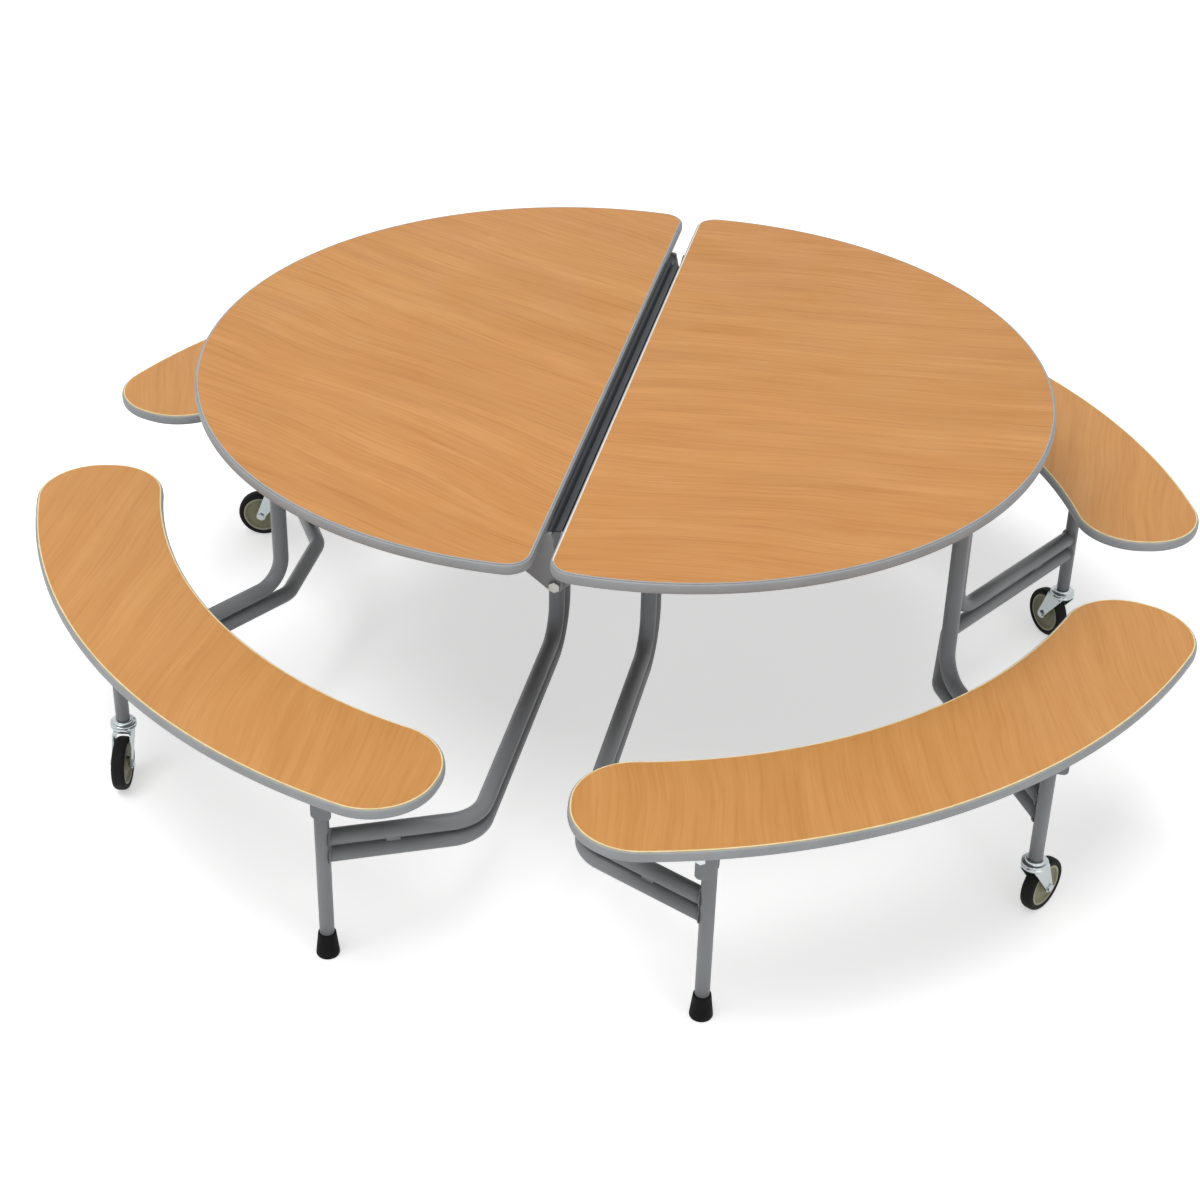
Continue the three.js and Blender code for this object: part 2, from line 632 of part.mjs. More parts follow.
// The two tops with their edging, slot rails and straps
const topParts = boardAndEdging(topOutline, TOP_UNDERSIDE);
for (const [side, sideX] of SIDES) {
  const earY = sideX > 0 ? EAR_Y : EAR_Y + EAR_THICKNESS + GAP;
  add(`${side}_top_board`, mirrored(topParts.board, sideX, 1), LAMINATE);
  add(`${side}_top_edging`, mirrored(topParts.edging, sideX, 1), EDGE_GREY);
  add(`${side}_slot_rail`, mirrored(rail(earY), sideX, 1), POWDER_COAT);
  add(`${side}_inner_strap`, mirrored(strap(INNER_X, INNER_STRAP_LENGTH), sideX, 1), POWDER_COAT);
  add(`${side}_outer_strap`, mirrored(strap(OUTER_X, OUTER_STRAP_LENGTH), sideX, 1), POWDER_COAT);
}
for (const [end, sideY] of ENDS) {
  add(`${end}_hinge_bolt`, hingeBolt(sideY), ZINC);
}

// The two inner and two outer frames
for (const [side, sideX] of SIDES) {
  add(`${side}_inner_upper_tube`, innerTube(sideX, 0), POWDER_COAT);
  add(`${side}_inner_lower_tube`, innerTube(sideX, 1), POWDER_COAT);
  add(`${side}_outer_hoop`, outerHoop(sideX), POWDER_COAT);
  add(`${side}_outer_stretcher`, outerStretcher(sideX), POWDER_COAT);
}

// The four quarters: posts, feet, casters and benches
const footPost = post(FOOT_POST, FERRULE_FLOOR + GAP, INNER_PIVOT_X, false);
const casterPost = post(CASTER_POST, CASTER_TOP, OUTER_PIVOT_X, true);
const innerHanger = hanger(FOOT_POST, INNER_PIVOT_X, INNER_CHEEK_BOTTOM);
const outerHanger = hanger(CASTER_POST, OUTER_PIVOT_X, OUTER_CHEEK_BOTTOM);
const foot = ferrule(FOOT_POST);
const benchParts = boardAndEdging(benchOutline, BENCH_UNDERSIDE);
const casterParts = caster();
for (const [side, sideX] of SIDES) {
  for (const [end, sideY] of ENDS) {
    const quarter = `${end}_${side}`;
    const place = (geometry) => mirrored(geometry, sideX, sideY);
    add(`${quarter}_foot_post`, place(footPost), POWDER_COAT);
    add(`${quarter}_ferrule`, place(foot), RUBBER);
    add(`${quarter}_caster_post`, place(casterPost), POWDER_COAT);
    add(`${quarter}_bench_board`, place(benchParts.board), LAMINATE);
    add(`${quarter}_bench_edging`, place(benchParts.edging), EDGE_GREY);
    add(`${quarter}_inner_hanger`, place(innerHanger), POWDER_COAT);
    add(`${quarter}_outer_hanger`, place(outerHanger), POWDER_COAT);
    const heading = THREE.MathUtils.degToRad(CASTER_HEADINGS[quarter]);
    const trail = (geometry) => {
      const copy = geometry.clone();
      copy.rotateZ(heading);
      copy.translate(sideX * CASTER_POST.x, sideY * CASTER_POST.y, 0);
      return copy;
    };
    add(`${quarter}_caster_fork`, trail(casterParts.fork), ZINC);
    add(`${quarter}_caster_hub`, trail(casterParts.hub), HUB_PLASTIC);
    add(`${quarter}_caster_tyre`, trail(casterParts.tyre), RUBBER);
  }
}

export default table;
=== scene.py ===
# %% [markdown]
# # A folding cafeteria table with four curved benches
#
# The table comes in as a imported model: sixty named pieces that fold about real pivots.
# This lesson gives each piece its look. Boards, edging, bent tubes, posts, feet and wheels are
# drawn again as smooth computed surfaces, and the small steel fittings keep their shape.
# Lengths are metres, +Z is up, and the origin is on the floor under the slot.

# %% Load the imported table
import math

import bpy
import numpy as np
from mathutils import Matrix


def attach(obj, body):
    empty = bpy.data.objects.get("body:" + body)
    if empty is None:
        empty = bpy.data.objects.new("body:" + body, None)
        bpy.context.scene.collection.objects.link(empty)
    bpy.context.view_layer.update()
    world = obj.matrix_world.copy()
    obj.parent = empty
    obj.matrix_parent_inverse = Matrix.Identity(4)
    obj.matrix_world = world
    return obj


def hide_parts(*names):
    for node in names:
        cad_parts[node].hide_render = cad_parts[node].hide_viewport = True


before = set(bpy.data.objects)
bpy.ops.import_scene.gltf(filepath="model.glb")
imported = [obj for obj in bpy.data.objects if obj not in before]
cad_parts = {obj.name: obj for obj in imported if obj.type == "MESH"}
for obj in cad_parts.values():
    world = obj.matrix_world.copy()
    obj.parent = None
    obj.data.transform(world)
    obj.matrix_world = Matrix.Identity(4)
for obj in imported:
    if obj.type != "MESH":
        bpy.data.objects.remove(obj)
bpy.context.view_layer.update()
SIDES = (("left", -1), ("right", 1))
ENDS = (("front", -1), ("back", 1))
QUARTERS = [(end + "_" + side, side, sx, sy) for side, sx in SIDES for end, sy in ENDS]

# %% [markdown]
# ## Node helpers
#
# A procedural finish is a short chain of nodes. These helpers keep each chain readable: one
# makes a material with its shader, and one makes noise that stays on the piece. Others turn a
# number into a colour or into another range, mix two colours and add a fine bump.

# %% Node helpers


def new_material(name):
    """A material with its node tree and its main shader."""
    material = bpy.data.materials.new(name)
    material.use_nodes = True
    return material, material.node_tree, material.node_tree.nodes["Principled BSDF"]


def object_noise(tree, scale, detail=4.0, roughness=0.55):
    """Even noise in object coordinates, so that it stays on the piece when the piece moves."""
    place = tree.nodes.new("ShaderNodeTexCoord")
    noise = tree.nodes.new("ShaderNodeTexNoise")
    noise.inputs["Scale"].default_value = scale
    noise.inputs["Detail"].default_value = detail
    noise.inputs["Roughness"].default_value = roughness
    tree.links.new(place.outputs["Object"], noise.inputs["Vector"])
    return noise.outputs["Fac"]


def ramp(tree, value, stops):
    """A colour for a number: stops are (position, colour) pairs."""
    node = tree.nodes.new("ShaderNodeValToRGB")
    elements = node.color_ramp.elements
    elements[0].position, elements[0].color = stops[0][0], (*stops[0][1], 1.0)
    elements[1].position, elements[1].color = stops[-1][0], (*stops[-1][1], 1.0)
    for position, colour in stops[1:-1]:
        elements.new(position).color = (*colour, 1.0)
    tree.links.new(value, node.inputs["Fac"])
    return node.outputs["Color"]


def span(tree, value, low, high, from_low=0.3, from_high=0.7):
    """A number moved from one range to another, held at its ends."""
    node = tree.nodes.new("ShaderNodeMapRange")
    node.inputs["From Min"].default_value = from_low
    node.inputs["From Max"].default_value = from_high
    node.inputs["To Min"].default_value = low
    node.inputs["To Max"].default_value = high
    tree.links.new(value, node.inputs["Value"])
    return node.outputs["Result"]


def mix_colours(tree, factor, first, second, blend="MIX"):
    """Two colours mixed by a number or by a constant."""
    node = tree.nodes.new("ShaderNodeMix")
    node.data_type = "RGBA"
    node.blend_type = blend
    if isinstance(factor, float):
        node.inputs[0].default_value = factor
    else:
        tree.links.new(factor, node.inputs[0])
    for socket, colour in ((node.inputs[6], first), (node.inputs[7], second)):
        if isinstance(colour, tuple):
            socket.default_value = (*colour, 1.0)
        else:
            tree.links.new(colour, socket)
    return node.outputs[2]


def bump(tree, shader, height, strength, distance):
    """A bump from a height value, joined to the shader's normal."""
    node = tree.nodes.new("ShaderNodeBump")
    node.inputs["Strength"].default_value = strength
    node.inputs["Distance"].default_value = distance
    tree.links.new(height, node.inputs["Height"])
    tree.links.new(node.outputs["Normal"], shader.inputs["Normal"])


print("helpers ready")

# %% [markdown]
# ## Wood-grain laminate
#
# The boards are faced with a printed beech laminate: soft streaks along the grain, short
# darker flecks and a slow drift of tone from one end to the other. Wood is never quite
# straight, so the coordinates are first bent by a slow noise. Four noises, each squeezed
# across the grain, then make the print. The grain runs at its own angle on each board.

# %% Wood-grain laminate


def vector_step(tree, operation, first, second):
    """One step of vector arithmetic on a linked vector and a constant or another linked vector."""
    node = tree.nodes.new("ShaderNodeVectorMath")
    node.operation = operation
    tree.links.new(first, node.inputs[0])
    if isinstance(second, tuple):
        node.inputs[1].default_value = second
    else:
        tree.links.new(second, node.inputs[1])
    return node.outputs["Vector"]


WANDER = 0.09


def grain_place(tree, turn):
    """Object coordinates bent by slow noise, then turned about Z so that X runs along the grain."""
    place = tree.nodes.new("ShaderNodeTexCoord")
    slow = tree.nodes.new("ShaderNodeTexNoise")
    slow.inputs["Scale"].default_value = 2.1
    slow.inputs["Detail"].default_value = 1.5
    tree.links.new(place.outputs["Object"], slow.inputs["Vector"])
    centred = vector_step(tree, "SUBTRACT", slow.outputs["Color"], (0.5, 0.5, 0.5))
    bend = vector_step(tree, "MULTIPLY", centred, (WANDER, WANDER, 0.0))
    bent = vector_step(tree, "ADD", place.outputs["Object"], bend)
    mapping = tree.nodes.new("ShaderNodeMapping")
    mapping.vector_type = "TEXTURE"
    mapping.inputs["Rotation"].default_value = (0.0, 0.0, turn)
    tree.links.new(bent, mapping.inputs["Vector"])
    return mapping.outputs["Vector"]


def streaks(tree, place, stretch, scale, detail, roughness):
    """Noise squeezed across the grain: the larger the second number, the finer the streaks."""
    noise = tree.nodes.new("ShaderNodeTexNoise")
    noise.inputs["Scale"].default_value = scale
    noise.inputs["Detail"].default_value = detail
    noise.inputs["Roughness"].default_value = roughness
    tree.links.new(vector_step(tree, "MULTIPLY", place, stretch), noise.inputs["Vector"])
    return noise.outputs["Fac"]


LINE_TONES = [(0.30, (0.86, 0.81, 0.70)), (0.48, (0.99, 0.99, 0.98)), (0.70, (1.05, 1.09, 1.18))]
FLECK_TONE, FLECK_DEPTH = (0.36, 0.155, 0.048), 0.22


def laminate(name, turn, dark, light, depth):
    """Beech print: broad and fine streaks pick the tone, flecks darken it, slow noise drifts it.
    Depth is the strength of the fine streaks and flecks."""
    material, tree, shader = new_material(name)
    place = grain_place(tree, turn)
    broad = streaks(tree, place, (1.3, 11.0, 11.0), 2.4, 3.0, 0.5)
    fine = streaks(tree, place, (2.0, 74.0, 74.0), 2.6, 4.0, 0.62)
    soft = ramp(tree, broad, [(0.30, dark), (0.70, light)])
    tone = mix_colours(tree, depth, soft, ramp(tree, fine, LINE_TONES), "MULTIPLY")
    flecks = streaks(tree, place, (9.0, 160.0, 160.0), 3.0, 2.0, 0.5)
    fleck_depth = span(tree, flecks, 0.0, FLECK_DEPTH * depth, 0.58, 0.76)
    flecked = mix_colours(tree, fleck_depth, tone, FLECK_TONE)
    drift = streaks(tree, place, (0.8, 1.8, 1.8), 1.6, 2.0, 0.5)
    drift_tone = ramp(tree, drift, [(0.3, (0.96, 0.95, 0.94)), (0.7, (1.0, 1.0, 1.0))])
    colour = mix_colours(tree, 1.0, flecked, drift_tone, "MULTIPLY")
    tree.links.new(colour, shader.inputs["Base Color"])
    smears = object_noise(tree, 9.0, 5.0, 0.6)
    tree.links.new(span(tree, smears, 0.38, 0.52), shader.inputs["Roughness"])
    shader.inputs["Specular IOR Level"].default_value = 0.3
    bump(tree, shader, fine, 0.06, 0.0003)
    return material


GRAIN_TURNS = {
    "left_top": math.radians(-23),
    "right_top": math.radians(5),
    "front_left_bench": math.radians(90),
    "front_right_bench": math.radians(-76),
    "back_left_bench": math.radians(-75),
    "back_right_bench": math.radians(92),
}
TOP_TONES = ((0.525, 0.231, 0.060), (0.595, 0.277, 0.082), 1.0)
# The seats take a lighter copy of the print: painted light that makes up for the shade the table
# casts on them. Their softer fine streaks are the print's own.
SEAT_TONES_WITH_PAINTED_LIGHT = ((0.572, 0.261, 0.074), (0.636, 0.306, 0.097), 0.6)
laminates = {
    name: laminate("laminate_" + name, turn, *(TOP_TONES if name.endswith("top") else SEAT_TONES_WITH_PAINTED_LIGHT))
    for name, turn in GRAIN_TURNS.items()
}
print("laminates", len(laminates))

# %% [markdown]
# ## Edging, sheets and powder coat
#
# The edging is a moulded grey strip with a slightly satin skin. Where the laminate ends a thin
# line of its core shows: grey round the tops and cream on the benches. Along the right edge of
# the slot the line is pale, a painted highlight. Under each board is a backing sheet made dark as
# painted shade for the underside and the space below. The steel is powder coated: a fine
# orange-peel bump and a little wear where hands rub. The rails under the slot take a darker copy of
# the frames' coat, painted shade.

# %% Edging, sheets and powder coat


def edging_finish():
    """Grey moulded strip: slow mottling, fine grain in the roughness and a shallow bump."""
    material, tree, shader = new_material("edging")
    mottle = object_noise(tree, 14.0, 5.0)
    tree.links.new(
        ramp(tree, mottle, [(0.3, (0.272, 0.283, 0.293)), (0.7, (0.322, 0.333, 0.344))]),
        shader.inputs["Base Color"])
    grain = object_noise(tree, 420.0, 3.0)
    tree.links.new(span(tree, grain, 0.42, 0.6), shader.inputs["Roughness"])
    bump(tree, shader, grain, 0.15, 0.0002)
    return material


def sheet_finish(name, dark, light):
    """Plain sheet between two tones: the core of the laminate, or the dark backing under a board,
    which is painted shade.
    """
    material, tree, shader = new_material(name)
    spots = object_noise(tree, 60.0, 3.0)
    tree.links.new(ramp(tree, spots, [(0.3, dark), (0.7, light)]), shader.inputs["Base Color"])
    tree.links.new(span(tree, spots, 0.5, 0.65), shader.inputs["Roughness"])
    bump(tree, shader, spots, 0.1, 0.0002)
    return material


def powder_finish(name, dark, light, rubbed):
    """Powder coat: orange-peel bump, slow tone drift and rubbed brighter patches."""
    material, tree, shader = new_material(name)
    drift = object_noise(tree, 5.0, 4.0)
    base = ramp(tree, drift, [(0.3, dark), (0.7, light)])
    rub = object_noise(tree, 26.0, 6.0, 0.7)
    worn = mix_colours(tree, span(tree, rub, 0.0, 0.35, 0.60, 0.80), base, rubbed)
    tree.links.new(worn, shader.inputs["Base Color"])
    shader.inputs["Specular IOR Level"].default_value = 0.22
    peel = object_noise(tree, 700.0, 2.0)
    tree.links.new(span(tree, rub, 0.30, 0.42), shader.inputs["Roughness"])
    bump(tree, shader, peel, 0.12, 0.0002)
    return material


edging = edging_finish()
top_core = sheet_finish("top_core", (0.33, 0.335, 0.335), (0.39, 0.395, 0.395))
# Pale core along the slot: a painted highlight on the right board's slot edge.
slot_highlight_core = sheet_finish("slot_highlight_core", (0.66, 0.64, 0.60), (0.78, 0.76, 0.72))
bench_core = sheet_finish("bench_core", (0.74, 0.60, 0.30), (0.86, 0.73, 0.44))
# A dark backing under the boards: painted shade for the underside and the space below.
shade_backing = sheet_finish("shade_backing", (0.085, 0.080, 0.076), (0.125, 0.119, 0.113))
powder = powder_finish(
    "powder_coat", (0.228, 0.234, 0.242), (0.274, 0.280, 0.289), (0.35, 0.36, 0.37))
# A darker copy of the frames' coat for the slot rails: painted shade.
rail_shade_coat = powder_finish(
    "rail_shade_coat", (0.043, 0.047, 0.053), (0.059, 0.064, 0.071), (0.095, 0.10, 0.105))
print("edging, sheets and powder coat ready")

# %% [markdown]
# ## Zinc, rubber and wheel plastic
#
# The fittings are bright zinc: nearly a mirror, clouded by a fine crystal pattern. A duller
# plate serves the hinge bolts. Feet and tyres are black rubber, dusty where they touch the
# floor. The wheel centres are an olive-grey moulded plastic with a paler rim, a painted highlight.

# %% Zinc, rubber and wheel plastic


def zinc_finish(name, dark, light, polish):
    """Zinc plate: metal with cell-like spangle in tone and roughness."""
    material, tree, shader = new_material(name)
    place = tree.nodes.new("ShaderNodeTexCoord")
    cells = tree.nodes.new("ShaderNodeTexVoronoi")
    cells.inputs["Scale"].default_value = 420.0
    tree.links.new(place.outputs["Object"], cells.inputs["Vector"])
    tone = ramp(tree, cells.outputs["Distance"], [(0.0, dark), (0.8, light)])
    tree.links.new(tone, shader.inputs["Base Color"])
    shader.inputs["Metallic"].default_value = 0.92
    cloud = object_noise(tree, 60.0, 4.0)
    tree.links.new(span(tree, cloud, polish, polish + 0.10), shader.inputs["Roughness"])
    bump(tree, shader, cloud, 0.03, 0.0002)
    return material


DUST_LINE = 0.016


def rubber_finish(name, dark, dusty):
    """Black rubber: pale dust gathers below the dust line and in the noise."""
    material, tree, shader = new_material(name)
    dust = object_noise(tree, 45.0, 6.0, 0.65)
    place = tree.nodes.new("ShaderNodeTexCoord")
    axes = tree.nodes.new("ShaderNodeSeparateXYZ")
    tree.links.new(place.outputs["Object"], axes.inputs["Vector"])
    low = span(tree, axes.outputs["Z"], 0.55, 0.0, 0.0, DUST_LINE)
    scuffed = mix_colours(tree, span(tree, dust, 0.0, 0.4, 0.45, 0.75), dark, dusty)
    tree.links.new(mix_colours(tree, low, scuffed, dusty), shader.inputs["Base Color"])
    tree.links.new(span(tree, dust, 0.55, 0.85), shader.inputs["Roughness"])
    shader.inputs["Specular IOR Level"].default_value = 0.14
    bump(tree, shader, dust, 0.2, 0.0003)
    return material


def hub_finish(name, dark, light):
    """Olive-grey plastic with a slow mottle and a satin skin."""
    material, tree, shader = new_material(name)
    mottle = object_noise(tree, 70.0, 4.0)
    tree.links.new(ramp(tree, mottle, [(0.3, dark), (0.7, light)]), shader.inputs["Base Color"])
    tree.links.new(span(tree, mottle, 0.45, 0.62), shader.inputs["Roughness"])
    bump(tree, shader, mottle, 0.1, 0.0003)
    return material


zinc = zinc_finish("zinc", (0.47, 0.52, 0.53), (0.56, 0.61, 0.62), 0.17)
dull_zinc = zinc_finish("dull_zinc", (0.33, 0.33, 0.31), (0.42, 0.42, 0.40), 0.34)
tyre_rubber = rubber_finish("tyre_rubber", (0.012, 0.012, 0.012), (0.050, 0.048, 0.046))
foot_rubber = rubber_finish("foot_rubber", (0.0035, 0.0035, 0.0038), (0.014, 0.014, 0.014))
hub_plastic = hub_finish("hub", (0.235, 0.225, 0.130), (0.305, 0.293, 0.185))
# A paler copy of the hub plastic for the rim: a painted highlight.
rim_highlight_plastic = hub_finish("hub_rim_highlight", (0.42, 0.41, 0.29), (0.52, 0.51, 0.38))
print("zinc, rubber and wheel plastic ready")

# %% [markdown]
# ## Surfaces from arrays
#
# Every smooth piece is a grid of points: rows run along the piece, columns run round it.
# The faces of such a grid follow from its row and column counts alone. A grid is always closed
# round its columns; end to end it is joined to itself, or capped with a flat face at each end.

# %% Surfaces from arrays


def grid_faces(rows, columns, looped):
    """Quads of a grid whose columns close on themselves; rows close too when looped."""
    last = rows if looped else rows - 1
    row, column = np.meshgrid(np.arange(last), np.arange(columns), indexing="ij")
    after = (row + 1) % rows
    beside = (column + 1) % columns
    here, ahead = row * columns, after * columns
    corners = (here + column, here + beside, ahead + beside, ahead + column)
    return np.stack(corners, -1).reshape(-1, 4)


def capped_faces(rows, columns):
    """Quads of an open grid, then its first row turned over as a cap, then its last row."""
    first = list(range(columns))[::-1]
    last = list(range((rows - 1) * columns, rows * columns))
    return grid_faces(rows, columns, False).tolist() + [first, last]


def build(name, points, faces, materials, face_slots=None, smooth=True):
    """A mesh object at the origin from points and faces, with one or more materials."""
    mesh = bpy.data.meshes.new(name)
    mesh.from_pydata(points.reshape(-1, 3).tolist(), [], [list(face) for face in faces])
    for material in materials:
        mesh.materials.append(material)
    if face_slots is not None:
        mesh.polygons.foreach_set("material_index", np.asarray(face_slots, np.int32))
    mesh.polygons.foreach_set("use_smooth", np.full(len(mesh.polygons), smooth))
    mesh.update()
    piece = bpy.data.objects.new(name, mesh)
    bpy.context.scene.collection.objects.link(piece)
    return piece


def stand_in(piece, node, body):
    """Shows the piece in place of a CAD node and lets it move with that node's body."""
    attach(piece, body)
    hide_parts(node)


def face_centres(piece):
    """The middle of every face, one row of X, Y and Z for each."""
    faces = piece.data.polygons
    centres = np.empty(len(faces) * 3)
    faces.foreach_get("center", centres)
    return centres.reshape(-1, 3)


def recoat(piece, material, chosen):
    """Adds a material to a piece and gives it to the chosen faces."""
    mesh = piece.data
    slots = np.empty(len(mesh.polygons), np.int32)
    mesh.polygons.foreach_get("material_index", slots)
    slots[chosen] = len(mesh.materials)
    mesh.materials.append(material)
    mesh.polygons.foreach_set("material_index", slots)


def arc(centre, radius, start, end, count):
    """Points on a circle: centre plus radius times (cosine, sine), from one angle to another."""
    angle = np.linspace(start, end, count)
    return np.stack([centre[0] + radius * np.cos(angle), centre[1] + radius * np.sin(angle)], -1)


print("surface tools ready")

# %% [markdown]
# ## Outlines of the boards
#
# Half a top is a circle whose centre stands a little off the slot, cut straight along the
# slot and rounded at the two corners. A bench is a strip between two arcs with large rounded
# corners. Both are chains of arcs, and the same corner centres serve every inset, so a
# smaller outline is drawn by shortening the radii.

# %% Outlines of the boards
TOP_CENTRE, TOP_RADIUS, TOP_CORNER, SLOT_HALF = 0.085, 0.681, 0.042, 0.0147
BENCH_CENTRE, BENCH_INNER, BENCH_OUTER, BENCH_CORNER = (-0.0375, -0.1287), 0.917, 1.147, 0.109
BENCH_START, BENCH_END = math.radians(12.95), math.radians(82.1)


def top_outline(inset):
    """Right-hand half, counter-clockwise: the big arc, a corner, the slot edge, a corner."""
    x = SLOT_HALF + TOP_CORNER
    y = math.sqrt((TOP_RADIUS - TOP_CORNER) ** 2 - (x - TOP_CENTRE) ** 2)
    meet = math.atan2(y, x - TOP_CENTRE)
    small = TOP_CORNER - inset
    slot = np.linspace(y, -y, 60)[1:-1]
    return np.concatenate([
        arc((TOP_CENTRE, 0.0), TOP_RADIUS - inset, -meet, meet, 220)[:-1],
        arc((x, y), small, meet, math.pi, 24),
        np.stack([np.full_like(slot, SLOT_HALF + inset), slot], -1),
        arc((x, -y), small, math.pi, 2 * math.pi - meet, 24)[:-1],
    ])


def bench_outline(inset):
    """Back right bench, counter-clockwise: outer arc, two corners, inner arc, two corners."""
    far, near = BENCH_OUTER - BENCH_CORNER, BENCH_INNER + BENCH_CORNER
    far_trim, near_trim = math.asin(BENCH_CORNER / far), math.asin(BENCH_CORNER / near)
    small, quarter = BENCH_CORNER - inset, math.pi / 2

    def rounding(reach, angle, start, end):
        x = BENCH_CENTRE[0] + reach * math.cos(angle)
        y = BENCH_CENTRE[1] + reach * math.sin(angle)
        return arc((x, y), small, start, end, 24)

    a0, a1 = BENCH_START + far_trim, BENCH_END - far_trim
    b0, b1 = BENCH_START + near_trim, BENCH_END - near_trim
    return np.concatenate([
        arc(BENCH_CENTRE, BENCH_OUTER - inset, a0, a1, 120)[:-1],
        rounding(far, a1, a1, BENCH_END + quarter),
        rounding(near, b1, BENCH_END + quarter, b1 + math.pi)[:-1],
        arc(BENCH_CENTRE, BENCH_INNER + inset, b1, b0, 100)[:-1],
        rounding(near, b0, b0 + math.pi, BENCH_START + 3 * quarter),
        rounding(far, a0, BENCH_START - quarter, a0)[:-1],
    ])


print("outline points:", len(top_outline(0.0)), "top,", len(bench_outline(0.0)), "bench")

# %% [markdown]
# ## Boards and edging
#
# A board is its outline repeated in rings: underside, side, a small bevel that shows the core,
# and the flat face. The edging stops below that bevel, so the core line shows from across the
# table. It is a half-round section carried round the outline; each row of its grid is the same
# outline drawn at another inset and height.

# %% Boards and edging
TOP_FACE, BENCH_FACE, THICKNESS, EDGE_WIDTH = 0.737, 0.459, 0.019, 0.0032
BEVEL_WIDTH, BEVEL_DROP, LIP_DROP = 0.0024, 0.0002, 0.0016
EDGE_GAP, FULLNESS, SLOT_HIGHLIGHT_BAND = 0.0003, 0.45, 0.006
FACE_SLOT, CORE_SLOT, SHADE_BACKING_SLOT = 0, 1, 2


def level(outline, height):
    """An outline in plan lifted to a height."""
    return np.column_stack([outline, np.full(len(outline), height)])


def mirror(points, side_x, side_y):
    """A piece of the back right quarter carried to another quarter, its columns kept outward."""
    moved = points * np.array([side_x, side_y, 1.0])
    return moved[:, ::-1] if side_x * side_y < 0 else moved


def board(name, outline_at, face, material, core, side_x, side_y):
    """Rings at growing inset: underside edge, upper edge, end of the bevel; then two flat caps."""
    inset = EDGE_WIDTH + EDGE_GAP
    rings = [
        level(outline_at(inset), face - THICKNESS),
        level(outline_at(inset), face - BEVEL_DROP),
        level(outline_at(inset + BEVEL_WIDTH), face),
    ]
    points = mirror(np.stack(rings), side_x, side_y)
    faces = capped_faces(*points.shape[:2])
    slots = [CORE_SLOT] * (len(faces) - 2) + [SHADE_BACKING_SLOT, FACE_SLOT]
    return build(name, points, faces, [material, core, shade_backing], slots, smooth=False)


def edging_strip(name, outline_at, face, side_x, side_y):
    """Section in inset and height: flat inside, outside a half-ellipse made fuller by a power."""
    turn = np.linspace(-math.pi / 2, math.pi / 2, 15)
    bulge = np.sign(np.cos(turn)) * np.abs(np.cos(turn)) ** FULLNESS
    lift = np.sin(turn)
    insets = np.concatenate([EDGE_WIDTH * (1 - bulge), [EDGE_WIDTH, EDGE_WIDTH]])
    half = (THICKNESS - LIP_DROP) / 2
    heights = np.concatenate([lift, [1.0, -1.0]]) * half + face - THICKNESS + half
    ring = np.stack([level(outline_at(i), z) for i, z in zip(insets, heights)])
    points = mirror(ring, side_x, side_y)
    return build(name, points, grid_faces(*points.shape[:2], True), [edging])


def paint_slot_highlight(piece):
    """Gives the pale core, a painted highlight, to the side and bevel along the slot; the caps lie
    far from the slot.
    """
    recoat(piece, slot_highlight_core, np.abs(face_centres(piece)[:, 0]) < SLOT_HALF + SLOT_HIGHLIGHT_BAND)


boards = 0
for side, sx in SIDES:
    body = side + "_top"
    piece = board(side + "_top_face", top_outline, TOP_FACE, laminates[body], top_core, sx, 1)
    # Only the right board's slot edge takes the pale core, a painted highlight.
    if side == "right":
        paint_slot_highlight(piece)
    stand_in(piece, side + "_top_board", body)
    strip = edging_strip(side + "_top_edge", top_outline, TOP_FACE, sx, 1)
    stand_in(strip, side + "_top_edging", body)
    for end, sy in ENDS:
        quarter = end + "_" + side
        body = quarter + "_bench"
        grain = laminates[body]
        piece = board(quarter + "_seat", bench_outline, BENCH_FACE, grain, bench_core, sx, sy)
        stand_in(piece, quarter + "_bench_board", body)
        strip = edging_strip(quarter + "_seat_edge", bench_outline, BENCH_FACE, sx, sy)
        stand_in(strip, quarter + "_bench_edging", body)
        boards += 1
    boards += 1
print("boards with edging:", boards)

# %% [markdown]
# ## Bent tubes
#
# A tube bender makes straights joined by round bends. The path is the list of corners with a
# bend radius at each. Along the path a frame of two directions is carried without twist, and a
# circle is drawn in that frame at every station. The ends are coped to the round of a post.

# %% Bent tubes
TUBE_RADIUS, PITCH, NEST, RUN_HEIGHT, PIVOT_HEIGHT = 0.0148, 0.0346, 0.048, 0.2506, 0.690
POST_RADIUS, POST_TOP, SETBACK, OVERLAP = 0.0127, 0.380, 0.009, 0.0008
FOOT_POST, CASTER_POST = np.array([0.322, 0.822]), np.array([0.833, 0.437])


def bent_path(corners, bends, steps=14):
    """Stations and directions along straights and bends.
    A bend is start + radius * (sin(a) * into + (1 - cos(a)) * side)."""
    corners = np.asarray(corners, float)
    places, headings = [corners[:1]], [corners[1:2] - corners[:1]]
    for before, here, after, radius in zip(corners, corners[1:], corners[2:], bends):
        into = (here - before) / np.linalg.norm(here - before)
        out = (after - here) / np.linalg.norm(after - here)
        turn = math.acos(float(np.clip(into @ out, -1, 1)))
        side = out - (out @ into) * into
        side /= np.linalg.norm(side)
        angle = np.linspace(0, turn, steps)[:, None]
        start = here - into * radius * math.tan(turn / 2)
        places.append(start + radius * (np.sin(angle) * into + (1 - np.cos(angle)) * side))
        headings.append(np.cos(angle) * into + np.sin(angle) * side)
    places.append(corners[-1:])
    headings.append(corners[-1:] - corners[-2:-1])
    headings = np.concatenate(headings)
    return np.concatenate(places), headings / np.linalg.norm(headings, axis=1)[:, None]


def cope(lateral):
    """Distance from a post's axis to its skin at a sideways offset:
    the root of the radius squared less the offset squared."""
    return np.maximum(np.sqrt(np.maximum(POST_RADIUS ** 2 - lateral ** 2, 0.0)), SETBACK)


